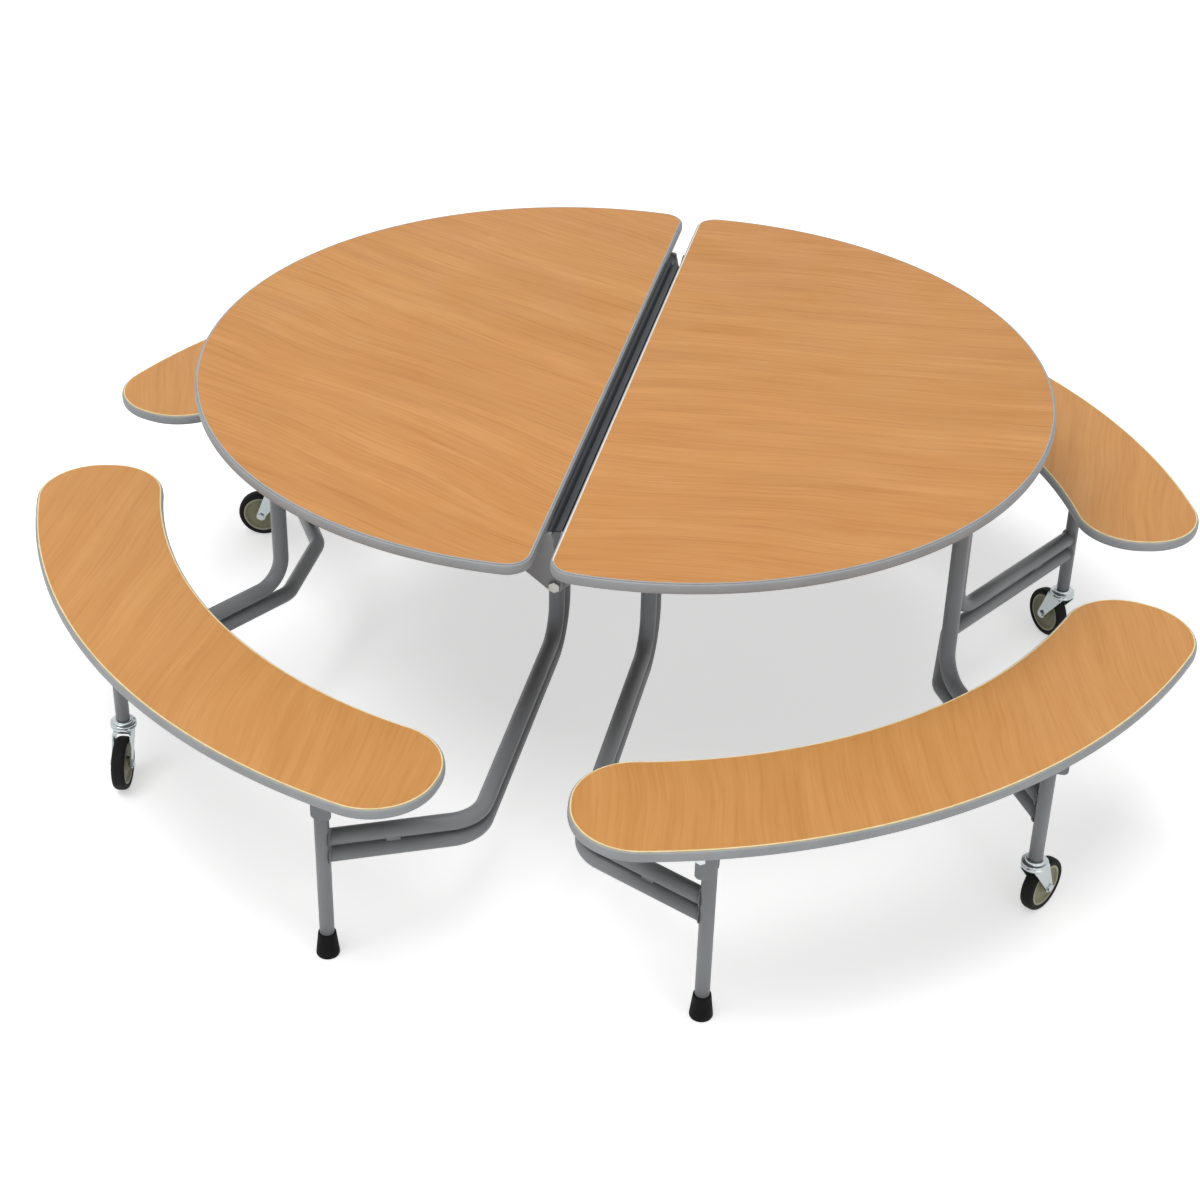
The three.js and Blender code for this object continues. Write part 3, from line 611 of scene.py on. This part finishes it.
def sweep(name, corners, bends, radius, material, sides=28):
    """A circle carried along a bent path without twist; both end rings reach into a post's skin."""
    places, headings = bent_path(corners, bends)
    first = np.cross(headings[0], [0.0, 0.0, 1.0])
    rights = []
    for heading in headings:
        first = first - (first @ heading) * heading
        first = first / np.linalg.norm(first)
        rights.append(first)
    rights = np.array(rights)
    ups = np.cross(headings, rights)
    angle = np.linspace(0, 2 * math.pi, sides, endpoint=False)
    cosine, sine = np.cos(angle)[None, :, None], np.sin(angle)[None, :, None]
    ring = cosine * rights[:, None] + sine * ups[:, None]
    points = places[:, None] + radius * ring
    for row, sign in ((0, 1.0), (-1, -1.0)):
        across = np.cross(headings[row], [0.0, 0.0, 1.0])
        lateral = radius * ring[row] @ across
        points[row] += sign * (cope(lateral) - OVERLAP)[:, None] * headings[row]
    return build(name, points, capped_faces(len(places), sides), [material])


def there_and_back(quarter, sx):
    """A path of one quarter, carried to a side and joined to its mirror image across Y."""
    half = np.asarray(quarter, float) * np.array([sx, 1.0, 1.0])
    return np.concatenate([half, half[::-1] * np.array([1.0, -1.0, 1.0])])


print("tube bender ready")

# %% [markdown]
# ## Frame tubes
#
# Each inner frame has two stacked tubes that run from foot post to foot post: in above the
# floor, up, across under the top and back. The lower one is nested inside the upper one. Each
# outer frame has a hoop of the same kind between the caster posts and a level tie below it.

# %% Frame tubes
INNER_X, OUTER_X, STRETCHER_X, RUN_SLOPE = 0.086, 0.632, 0.625, 0.47
LEG_Y, HOOP_Y = 0.140, 0.103
RUN_BEND, LOW_BEND, HIGH_BEND, HOOP_BEND, TIE_BEND = 0.070, 0.055, 0.075, 0.055, 0.050

plan_y = FOOT_POST[1] - (FOOT_POST[0] - INNER_X) * RUN_SLOPE
inner_along = np.array([INNER_X, plan_y]) - FOOT_POST
inner_along /= np.linalg.norm(inner_along)
outer_along = np.array([OUTER_X, HOOP_Y]) - CASTER_POST
outer_along /= np.linalg.norm(outer_along)
turn_y = CASTER_POST[1] + (STRETCHER_X - CASTER_POST[0]) * outer_along[1] / outer_along[0]

for side, sx in SIDES:
    for word, drop, nest in (("upper", 0.0, 0.0), ("lower", PITCH, NEST)):
        path = there_and_back([
            (*FOOT_POST, RUN_HEIGHT - drop),
            (INNER_X, plan_y, RUN_HEIGHT - drop),
            (INNER_X, LEG_Y - nest, RUN_HEIGHT - drop),
            (INNER_X, LEG_Y - nest, PIVOT_HEIGHT - nest),
        ], sx)
        rising = [RUN_BEND, LOW_BEND + drop, HIGH_BEND - drop]
        tube = sweep(f"{side}_{word}_leg", path, rising + rising[::-1], TUBE_RADIUS, powder)
        stand_in(tube, f"{side}_inner_{word}_tube", side + "_inner_frame")
    path = there_and_back([
        (*CASTER_POST, RUN_HEIGHT),
        (OUTER_X, HOOP_Y, RUN_HEIGHT),
        (OUTER_X, HOOP_Y, PIVOT_HEIGHT),
    ], sx)
    tube = sweep(side + "_hoop", path, [HOOP_BEND] * 4, TUBE_RADIUS, powder)
    stand_in(tube, side + "_outer_hoop", side + "_outer_frame")
    path = there_and_back([
        (*CASTER_POST, RUN_HEIGHT - PITCH),
        (STRETCHER_X, turn_y, RUN_HEIGHT - PITCH),
    ], sx)
    tube = sweep(side + "_tie", path, [TIE_BEND] * 2, TUBE_RADIUS, powder)
    stand_in(tube, side + "_outer_stretcher", side + "_outer_frame")
print("tubes bent:", 4 * len(SIDES))

# %% [markdown]
# ## Weld beads and spacers
#
# Each tube end is coped to its post and welded all round. The bead is a small rippled fillet
# that follows the line where the two skins meet. It is widest above and below the tube, where
# the post is behind it. A short block holds the stacked tubes apart.

# %% Weld beads and spacers
BEAD_LEAST, BEAD_SWELL, BEAD_SUNK, RIPPLE, RIPPLES = 0.0016, 0.0030, 0.0012, 0.06, 24
SPACER_AHEAD, SPACER_ACROSS, SPACER_LIFT, SPACER_PLACE = 0.012, 0.005, 0.008, 0.117


def weld(name, post, along, height, material, beads=96, sides=8):
    """A rippled fillet round a coped tube end. Its section is a hollow quarter circle
    from tube to post, closed by a corner sunk in the steel."""
    turn = np.linspace(0, 2 * math.pi, beads, endpoint=False)[:, None]
    width = (BEAD_LEAST + BEAD_SWELL * np.sin(turn) ** 2) * (1.0 + RIPPLE * np.sin(turn * RIPPLES))
    quarter = np.linspace(0, math.pi / 2, sides)[None]
    sunk = np.full((beads, 1), -BEAD_SUNK)
    rise = np.concatenate([width * (1 - np.sin(quarter)), sunk], 1)
    reach = np.concatenate([width * (1 - np.cos(quarter)), sunk], 1)
    radius = TUBE_RADIUS + rise
    lateral, lift = radius * np.cos(turn), radius * np.sin(turn)
    ahead = cope(lateral) + reach
    points = np.stack([
        post[0] + lateral * along[1] + ahead * along[0],
        post[1] - lateral * along[0] + ahead * along[1],
        height + lift,
    ], -1)
    return build(name, points, grid_faces(beads, sides + 1, True), [material])


def spacer(name, post, along, material):
    """A short block between two stacked tubes: eight corners from three half sizes."""
    ahead = np.array([along[0], along[1], 0.0]) * SPACER_AHEAD
    across = np.array([-along[1], along[0], 0.0]) * SPACER_ACROSS
    lift = np.array([0.0, 0.0, SPACER_LIFT])
    middle = np.array([*(post + SPACER_PLACE * along), RUN_HEIGHT - PITCH / 2])
    turns = np.array([(-1, -1), (1, -1), (1, 1), (-1, 1)])
    ring = turns[:, :1] * ahead + turns[:, 1:] * across
    points = np.stack([middle - lift + ring, middle + lift + ring])
    return build(name, points, capped_faces(2, 4), [material], smooth=False)


RUNS = (("inner", FOOT_POST, inner_along), ("outer", CASTER_POST, outer_along))
beads = 0
for quarter, side, sx, sy in QUARTERS:
    flip = np.array([sx, sy])
    for word, post, along in RUNS:
        name, body = f"{quarter}_{word}", f"{side}_{word}_frame"
        for place, height in (("upper", RUN_HEIGHT), ("lower", RUN_HEIGHT - PITCH)):
            bead = weld(f"{name}_{place}_weld", post * flip, along * flip, height, powder)
            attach(bead, body)
            beads += 1
        block = spacer(f"{name}_spacer", post * flip, along * flip, powder)
        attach(block, body)
print("weld beads:", beads)

# %% [markdown]
# ## Turned pieces
#
# Posts, feet and wheels are turned shapes: a profile of radius and height swept about an axis.
# The foot posts stand in black ferrules, the caster posts stop above the caster's collar. A
# short barrel beside each post holds the bolt that a bench turns on.

# %% Turned pieces
UP, ACROSS_BOLT = (0.0, 0.0, 1.0), (0.0, 1.0, 0.0)
FOOT_TUBE_END, CASTER_TUBE_END, BENCH_PIVOT = 0.0085, 0.1272, 0.345
BARRELS = {"inner": FOOT_POST - (0.013, 0.0), "outer": CASTER_POST + (0.022, 0.0)}


def turned(name, profile, place, axis, material, sides=48, looped=False):
    """A profile of (radius, height) pairs turned about an axis direction through a place."""
    profile = np.asarray(profile, float)
    axis = np.asarray(axis, float) / np.linalg.norm(axis)
    helper = np.array([1.0, 0.0, 0.0]) if abs(axis[0]) < 0.9 else np.array([0.0, 0.0, 1.0])
    first = np.cross(axis, helper)
    first /= np.linalg.norm(first)
    second = np.cross(axis, first)
    angle = np.linspace(0, 2 * math.pi, sides, endpoint=False)
    ring = np.cos(angle)[:, None] * first + np.sin(angle)[:, None] * second
    points = np.asarray(place, float) + profile[:, None, :1] * ring + profile[:, None, 1:] * axis
    rows = len(profile)
    faces = grid_faces(rows, sides, True) if looped else capped_faces(rows, sides)
    return build(name, points, faces, [material])


ferrule_profile = [
    (0.0175, 0.0), (0.0192, 0.0006), (0.0200, 0.0022), (0.0200, 0.0060),
    (0.0197, 0.0085), (0.0186, 0.0180), (0.0174, 0.0290), (0.0162, 0.0400),
    (0.0156, 0.0452), (0.0152, 0.0472), (0.0144, 0.0480), (0.0130, 0.0480),
]
barrel_profile = [
    (0.0094, -0.0127), (0.0100, -0.0121), (0.0100, 0.0121),
    (0.0094, 0.0127), (0.0053, 0.0127), (0.0053, -0.0127),
]


def post_profile(bottom):
    """A plain tube end: a small rounding, a straight side and a domed cap."""
    return [
        (0.0110, bottom), (POST_RADIUS, bottom + 0.0012), (POST_RADIUS, POST_TOP - 0.003),
        (0.0115, POST_TOP - 0.0008), (0.0090, POST_TOP),
    ]


for quarter, side, sx, sy in QUARTERS:
    foot = (sx * FOOT_POST[0], sy * FOOT_POST[1], 0.0)
    caster = (sx * CASTER_POST[0], sy * CASTER_POST[1], 0.0)
    piece = turned(quarter + "_foot_tube", post_profile(FOOT_TUBE_END), foot, UP, powder)
    stand_in(piece, quarter + "_foot_post", side + "_inner_frame")
    piece = turned(quarter + "_foot_cap", ferrule_profile, foot, UP, foot_rubber)
    stand_in(piece, quarter + "_ferrule", side + "_inner_frame")
    piece = turned(quarter + "_caster_tube", post_profile(CASTER_TUBE_END), caster, UP, powder)
    stand_in(piece, quarter + "_caster_post", side + "_outer_frame")
    for word, (x, y) in BARRELS.items():
        name, pivot = f"{quarter}_{word}_barrel", (sx * x, sy * y, BENCH_PIVOT)
        piece = turned(name, barrel_profile, pivot, ACROSS_BOLT, powder, looped=True)
        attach(piece, f"{side}_{word}_frame")
print("posts, feet and barrels turned:", (3 + len(BARRELS)) * len(QUARTERS))

# %% [markdown]
# ## Wheels
#
# Each wheel is two turned loops: a plastic centre with a thin web between its boss and rim, and
# a rubber tyre with a gently crowned tread. The rim of the centre is a paler band, a painted
# highlight. The axle lies across the way the caster trails, and that heading is given for each
# quarter.

# %% Wheels
TRAIL, WHEEL_RADIUS, RIM_HIGHLIGHT_INSIDE = 0.034, 0.050, 0.0345
TYRE_SIDES, HUB_SIDES = 72, 60
HEADINGS = {"front_right": 60, "front_left": 280, "back_right": 130, "back_left": 188}
crown = np.linspace(-1, 1, 13)
tread = np.stack([WHEEL_RADIUS - 0.0016 * crown ** 4 - 0.0002 * crown ** 2, 0.0096 * crown], -1)
tyre_profile = np.concatenate([
    [(0.0390, 0.0105), (0.0390, -0.0105), (0.0415, -0.0118), (0.0440, -0.0124), (0.0464, -0.0117)],
    tread,
    [(0.0464, 0.0117), (0.0440, 0.0124), (0.0415, 0.0118)],
])
hub_profile = [
    (0.0054, 0.0124), (0.0054, -0.0124), (0.0122, -0.0124), (0.0130, -0.0116), (0.0134, -0.0078),
    (0.0150, -0.0064), (0.0320, -0.0064), (0.0335, -0.0076), (0.0350, -0.0101), (0.0362, -0.0105),
    (0.0387, -0.0105),
    (0.0387, 0.0105), (0.0362, 0.0105), (0.0350, 0.0101), (0.0335, 0.0076), (0.0320, 0.0064),
    (0.0150, 0.0064), (0.0134, 0.0078), (0.0130, 0.0116), (0.0122, 0.0124),
]
hub_radii = np.array(hub_profile)[:, 0]
rim_highlight_rows = np.minimum(hub_radii, np.roll(hub_radii, -1)) > RIM_HIGHLIGHT_INSIDE


def axle_at(quarter):
    """Direction of a quarter's axle: level, and square to the heading in which the wheel trails."""
    heading = math.radians(HEADINGS[quarter])
    return np.array([-math.sin(heading), math.cos(heading), 0.0])


def at_caster(points, quarter, sx, sy):
    """Points drawn with the wheel trailing along +X, turned to the heading and set at the post."""
    heading = math.radians(HEADINGS[quarter])
    cosine, sine = math.cos(heading), math.sin(heading)
    turn = np.array([(cosine, sine, 0.0), (-sine, cosine, 0.0), (0.0, 0.0, 1.0)])
    return np.asarray(points, float) @ turn + (sx * CASTER_POST[0], sy * CASTER_POST[1], 0.0)


for quarter, _, sx, sy in QUARTERS:
    body, axle = quarter + "_wheel", axle_at(quarter)
    centre = at_caster((TRAIL, 0.0, WHEEL_RADIUS), quarter, sx, sy)
    name = quarter + "_tyre"
    piece = turned(name, tyre_profile, centre, axle, tyre_rubber, TYRE_SIDES, looped=True)
    stand_in(piece, quarter + "_caster_tyre", body)
    name = quarter + "_wheel_centre"
    piece = turned(name, hub_profile, centre, axle, hub_plastic, HUB_SIDES, looped=True)
    # The rim faces take the paler plastic: a painted highlight.
    recoat(piece, rim_highlight_plastic, np.repeat(rim_highlight_rows, HUB_SIDES))
    stand_in(piece, quarter + "_caster_hub", body)
print("wheels turned:", len(QUARTERS))

# %% [markdown]
# ## Caster forks
#
# A caster fork is one pressed strip of zinc-plated steel: up one side of the wheel, across under
# the swivel race and down the other side, narrowing to a round boss at the axle. The strip is a
# grid along its path; the race on top is turned, and the axle ends in hexagon nuts.

# %% Caster forks
FORK_HALF, SHEET, CROWN_TOP, FORK_BEND, BOSS = 0.018, 0.003, 0.111, 0.006, 0.010
CROWN_BACK, CROWN_FRONT, BOSS_START, PIN_RADIUS = -0.017, 0.023, 0.12, 0.005
race_profile = [
    (0.0200, 0.1096), (0.0226, 0.1100), (0.0238, 0.1114), (0.0240, 0.1130),
    (0.0240, 0.1156), (0.0206, 0.1162), (0.0206, 0.1178), (0.0239, 0.1184),
    (0.0239, 0.1204), (0.0228, 0.1216), (0.0192, 0.1221), (0.0174, 0.1228),
    (0.0170, 0.1240), (0.0170, 0.1258), (0.0160, 0.1267), (0.0120, 0.1268),
]
nut_profile = [(0.0066, 0.0), (0.0075, 0.0006), (0.0075, 0.0034), (0.0066, 0.0040)]
pin_profile = [(PIN_RADIUS, -FORK_HALF), (PIN_RADIUS, FORK_HALF)]


def fork_strip():
    """Rows run along the strip from boss to boss; each row has the four corners of its section."""
    round_end = np.linspace(BOSS_START, math.pi / 2, 9)
    rise = np.linspace(WHEEL_RADIUS, CROWN_TOP - FORK_BEND, 14)[1:]
    bend = np.linspace(0, math.pi / 2, 9)[1:]
    leg_z = np.concatenate([WHEEL_RADIUS - BOSS * np.cos(round_end), rise])
    climb = np.clip((leg_z - WHEEL_RADIUS) / (CROWN_TOP - FORK_BEND - WHEEL_RADIUS), 0, 1)
    half = np.concatenate([BOSS * np.sin(round_end), np.full(len(rise), BOSS)])
    back = (1 - climb) * (TRAIL - half) + climb * CROWN_BACK
    front = (1 - climb) * (TRAIL + half) + climb * CROWN_FRONT
    leg_y = np.full(len(leg_z), FORK_HALF)
    out_y = np.concatenate([leg_y, FORK_HALF - FORK_BEND * (1 - np.cos(bend))])
    out_z = np.concatenate([leg_z, CROWN_TOP - FORK_BEND + FORK_BEND * np.sin(bend)])
    normal_y = np.concatenate([np.ones(len(leg_z)), np.cos(bend)])
    normal_z = np.concatenate([np.zeros(len(leg_z)), np.sin(bend)])
    back = np.concatenate([back, np.full(len(bend), CROWN_BACK)])
    front = np.concatenate([front, np.full(len(bend), CROWN_FRONT)])
    outer = (out_y, out_z)
    inner = (out_y - SHEET * normal_y, out_z - SHEET * normal_z)
    corners = [np.stack([x, y, z], -1) for x, (y, z) in
               ((back, outer), (front, outer), (front, inner), (back, inner))]
    side = np.stack(corners, 1)
    other = side[::-1] * np.array([1.0, -1.0, 1.0])
    return np.concatenate([side, other])


strip = fork_strip()
strip_faces = capped_faces(*strip.shape[:2])
for quarter, _, sx, sy in QUARTERS:
    body, axle = quarter + "_fork", axle_at(quarter)
    points = at_caster(strip, quarter, sx, sy)
    piece = build(quarter + "_fork_strip", points, strip_faces, [zinc], smooth=False)
    stand_in(piece, quarter + "_caster_fork", body)
    under = (sx * CASTER_POST[0], sy * CASTER_POST[1], 0.0)
    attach(turned(quarter + "_race", race_profile, under, UP, zinc), body)
    for word, sign in (("near", -1.0), ("far", 1.0)):
        place = at_caster((TRAIL, sign * FORK_HALF, WHEEL_RADIUS), quarter, sx, sy)
        nut = turned(f"{quarter}_{word}_nut", nut_profile, place, sign * axle, zinc, sides=6)
        nut.data.polygons.foreach_set("use_smooth", np.zeros(len(nut.data.polygons), bool))
        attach(nut, body)
    middle = at_caster((TRAIL, 0.0, WHEEL_RADIUS), quarter, sx, sy)
    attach(turned(quarter + "_axle", pin_profile, middle, axle, zinc), body)
print("caster forks:", len(QUARTERS))

# %% [markdown]
# ## Fittings that keep their shape
#
# Rails, straps, hangers and hinge bolts are plain plate and bar. Their shape is right as it is,
# so they only take their finish. The rails take a darker copy of the frames' coat, painted shade.
# The bolts of the inner hangers show and are bright zinc, the hinge bolts are duller, and the
# hinge ears on the rails have the coat of the frames.

# %% Fittings that keep their shape
FITTINGS = {
    "slot_rail": rail_shade_coat, "inner_strap": powder, "outer_strap": powder, "hinge_bolt": dull_zinc,
    "inner_hanger": powder, "outer_hanger": powder,
}
CHEEK_FACE, BOLT_REACH, EAR_START = 0.0163, 0.012, 0.515


def plate_bolt(piece):
    """Gives zinc to a hanger's bolt: the faces near the bolt axis and outside the cheeks."""
    centres = face_centres(piece)
    outside = np.abs(np.abs(centres[:, 1]) - FOOT_POST[1]) > CHEEK_FACE
    bolt = outside & (np.abs(centres[:, 2] - BENCH_PIVOT) < BOLT_REACH)
    recoat(piece, zinc, bolt)
    return int(bolt.sum())


def coat_ears(piece):
    """Gives the frames' coat to the hinge ears: the faces of a slot rail near its two ends."""
    recoat(piece, powder, np.abs(face_centres(piece)[:, 1]) > EAR_START)


finished, bolt_faces = 0, 0
for node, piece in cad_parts.items():
    for ending, material in FITTINGS.items():
        if node.endswith(ending):
            piece.data.materials.clear()
            piece.data.materials.append(material)
            finished += 1
    if node.endswith("inner_hanger"):
        bolt_faces += plate_bolt(piece)
    if node.endswith("slot_rail"):
        coat_ears(piece)
print("fittings finished:", finished, "with zinc bolt faces:", bolt_faces)

# %% [markdown]
# ## Lips along the slot
#
# Looking down the slot, nothing shows below the rails: a lip on the left rail in the rails' darker
# coat and a black rubber lip just under it close the view. Both are dark strips put there as
# painted shade. A lip is a flat strip with a rounded tip. Its section is carried straight along
# the slot, and its root is sunk in the side of the rail.

# %% Lips along the slot
LIP_ROOT, LIP_HALF, LIP_END = 0.0095, 0.001, 0.512


def slot_shade_lip(name, side_x, reach, height, material):
    """Section in X and Z: a half-circle at the tip and two corners at the root.
    The two rows are its ends in Y."""
    tip = arc((reach + LIP_HALF, height), LIP_HALF, math.pi / 2, 3 * math.pi / 2, 9)
    root = [(LIP_ROOT, height - LIP_HALF), (LIP_ROOT, height + LIP_HALF)]
    section = np.concatenate([tip, root])
    ends = [np.insert(section, 1, y, axis=1) for y in (LIP_END, -LIP_END)]
    points = mirror(np.stack(ends), side_x, 1)
    return build(name, points, capped_faces(*points.shape[:2]), [material], smooth=False)


# Dark lips in the slot: the rails' darker coat and black rubber, painted shade.
SHADE_LIPS = {
    "left": (-0.0036, 0.7050, rail_shade_coat, "powder_coat"),
    "right": (0.0020, 0.7022, foot_rubber, "rubber"),
}
for side, sx in SIDES:
    reach, height, material, slot = SHADE_LIPS[side]
    lip = slot_shade_lip(side + "_slot_shade_lip", sx, reach, height, material)
    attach(lip, side + "_top")
print("slot lips:", len(SHADE_LIPS))

# %% [markdown]
# ## Floor and surroundings
#
# The table stands on a pale studio floor. Folding lifts the feet while the casters stay down, so
# the floor goes with a frame that stands on casters. Seen directly, floor and surroundings are
# white; the light that falls from the surroundings is weaker, so the shadow stays.

# %% Floor and surroundings
FLOOR_GLOW, SKY_LIGHT, FLOOR_REACH = 0.50, 0.32, 20.0
floor_material, floor_tree, floor_shader = new_material("studio_floor")
speckle = object_noise(floor_tree, 3.0, 4.0)
floor_tree.links.new(
    ramp(floor_tree, speckle, [(0.3, (0.90, 0.90, 0.90)), (0.7, (0.93, 0.93, 0.93))]),
    floor_shader.inputs["Base Color"])
floor_tree.links.new(span(floor_tree, speckle, 0.75, 0.9), floor_shader.inputs["Roughness"])
floor_shader.inputs["Specular IOR Level"].default_value = 0.1


def seen_directly(tree):
    """One for rays from the camera, from gloss and through glass; nought for light that falls."""
    path = tree.nodes.new("ShaderNodeLightPath")
    total = path.outputs["Is Camera Ray"]
    for ray in ("Is Glossy Ray", "Is Transmission Ray"):
        larger = tree.nodes.new("ShaderNodeMath")
        larger.operation = "MAXIMUM"
        tree.links.new(total, larger.inputs[0])
        tree.links.new(path.outputs[ray], larger.inputs[1])
        total = larger.outputs[0]
    return total


floor_shader.inputs["Emission Color"].default_value = (1.0, 1.0, 1.0, 1.0)
floor_tree.links.new(
    span(floor_tree, seen_directly(floor_tree), 0.0, FLOOR_GLOW, 0.0, 1.0),
    floor_shader.inputs["Emission Strength"])
floor_points = FLOOR_REACH * np.array([(-1, -1, 0), (1, -1, 0), (1, 1, 0), (-1, 1, 0)], float)
floor = build("studio_floor", floor_points, [(0, 1, 2, 3)], [floor_material], smooth=False)
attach(floor, "left_outer_frame")

world = bpy.data.worlds.new("white_surroundings")
bpy.context.scene.world = world
world.use_nodes = True
sky_tree = world.node_tree
background = sky_tree.nodes["Background"]
background.inputs["Color"].default_value = (1.0, 1.0, 1.0, 1.0)
sky_tree.links.new(
    span(sky_tree, seen_directly(sky_tree), SKY_LIGHT, 1.0, 0.0, 1.0),
    background.inputs["Strength"])
print("floor and surroundings set")

# %% [markdown]
# ## Lamps and camera
#
# A wide lamp high in front gives the soft shadow, and a weak one from the right lifts the dark
# sides. The camera stands where the picture was taken: its place and turn were solved from the
# table itself.

# %% Lamps and camera
TABLE_MIDDLE = (0.0, 0.0, 0.4)


def lamp(name, place, size, power):
    """A square soft lamp at a place, turned to face the middle of the table."""
    data = bpy.data.lights.new(name, "AREA")
    data.size = size
    data.energy = power
    thing = bpy.data.objects.new(name, data)
    x, y, z = np.subtract(TABLE_MIDDLE, place)
    thing.location = place
    thing.rotation_euler = (math.atan2(math.hypot(x, y), -z), 0.0, math.atan2(-x, y))
    bpy.context.scene.collection.objects.link(thing)


lamp("key", (-1.0, -2.4, 8.0), size=6.4, power=580.0)
lamp("fill", (3.6, -3.4, 2.6), size=3.0, power=22.0)

LENS, SENSOR, CAMERA_PLACE = 71.831, 36.0, (0.71682, -3.72980, 2.76168)
YAW, PITCH_DOWN, ROLL = math.radians(11.3676), math.radians(33.5665), math.radians(1.5963)
forward = np.array([
    -math.sin(YAW) * math.cos(PITCH_DOWN),
    math.cos(YAW) * math.cos(PITCH_DOWN),
    -math.sin(PITCH_DOWN),
])
level_right = np.array([math.cos(YAW), math.sin(YAW), 0.0])
level_up = np.cross(level_right, forward)
right = math.cos(ROLL) * level_right + math.sin(ROLL) * level_up
upward = -math.sin(ROLL) * level_right + math.cos(ROLL) * level_up
camera_data = bpy.data.cameras.new("camera")
camera_data.sensor_width = SENSOR
camera_data.lens = LENS
camera = bpy.data.objects.new("camera", camera_data)
matrix = np.eye(4)
matrix[:3, 0], matrix[:3, 1], matrix[:3, 2] = right, upward, -forward
matrix[:3, 3] = CAMERA_PLACE
camera.matrix_world = Matrix(matrix.tolist())
bpy.context.scene.collection.objects.link(camera)
bpy.context.scene.camera = camera
bpy.context.scene.view_settings.view_transform = "Standard"
print("lamps and camera set")
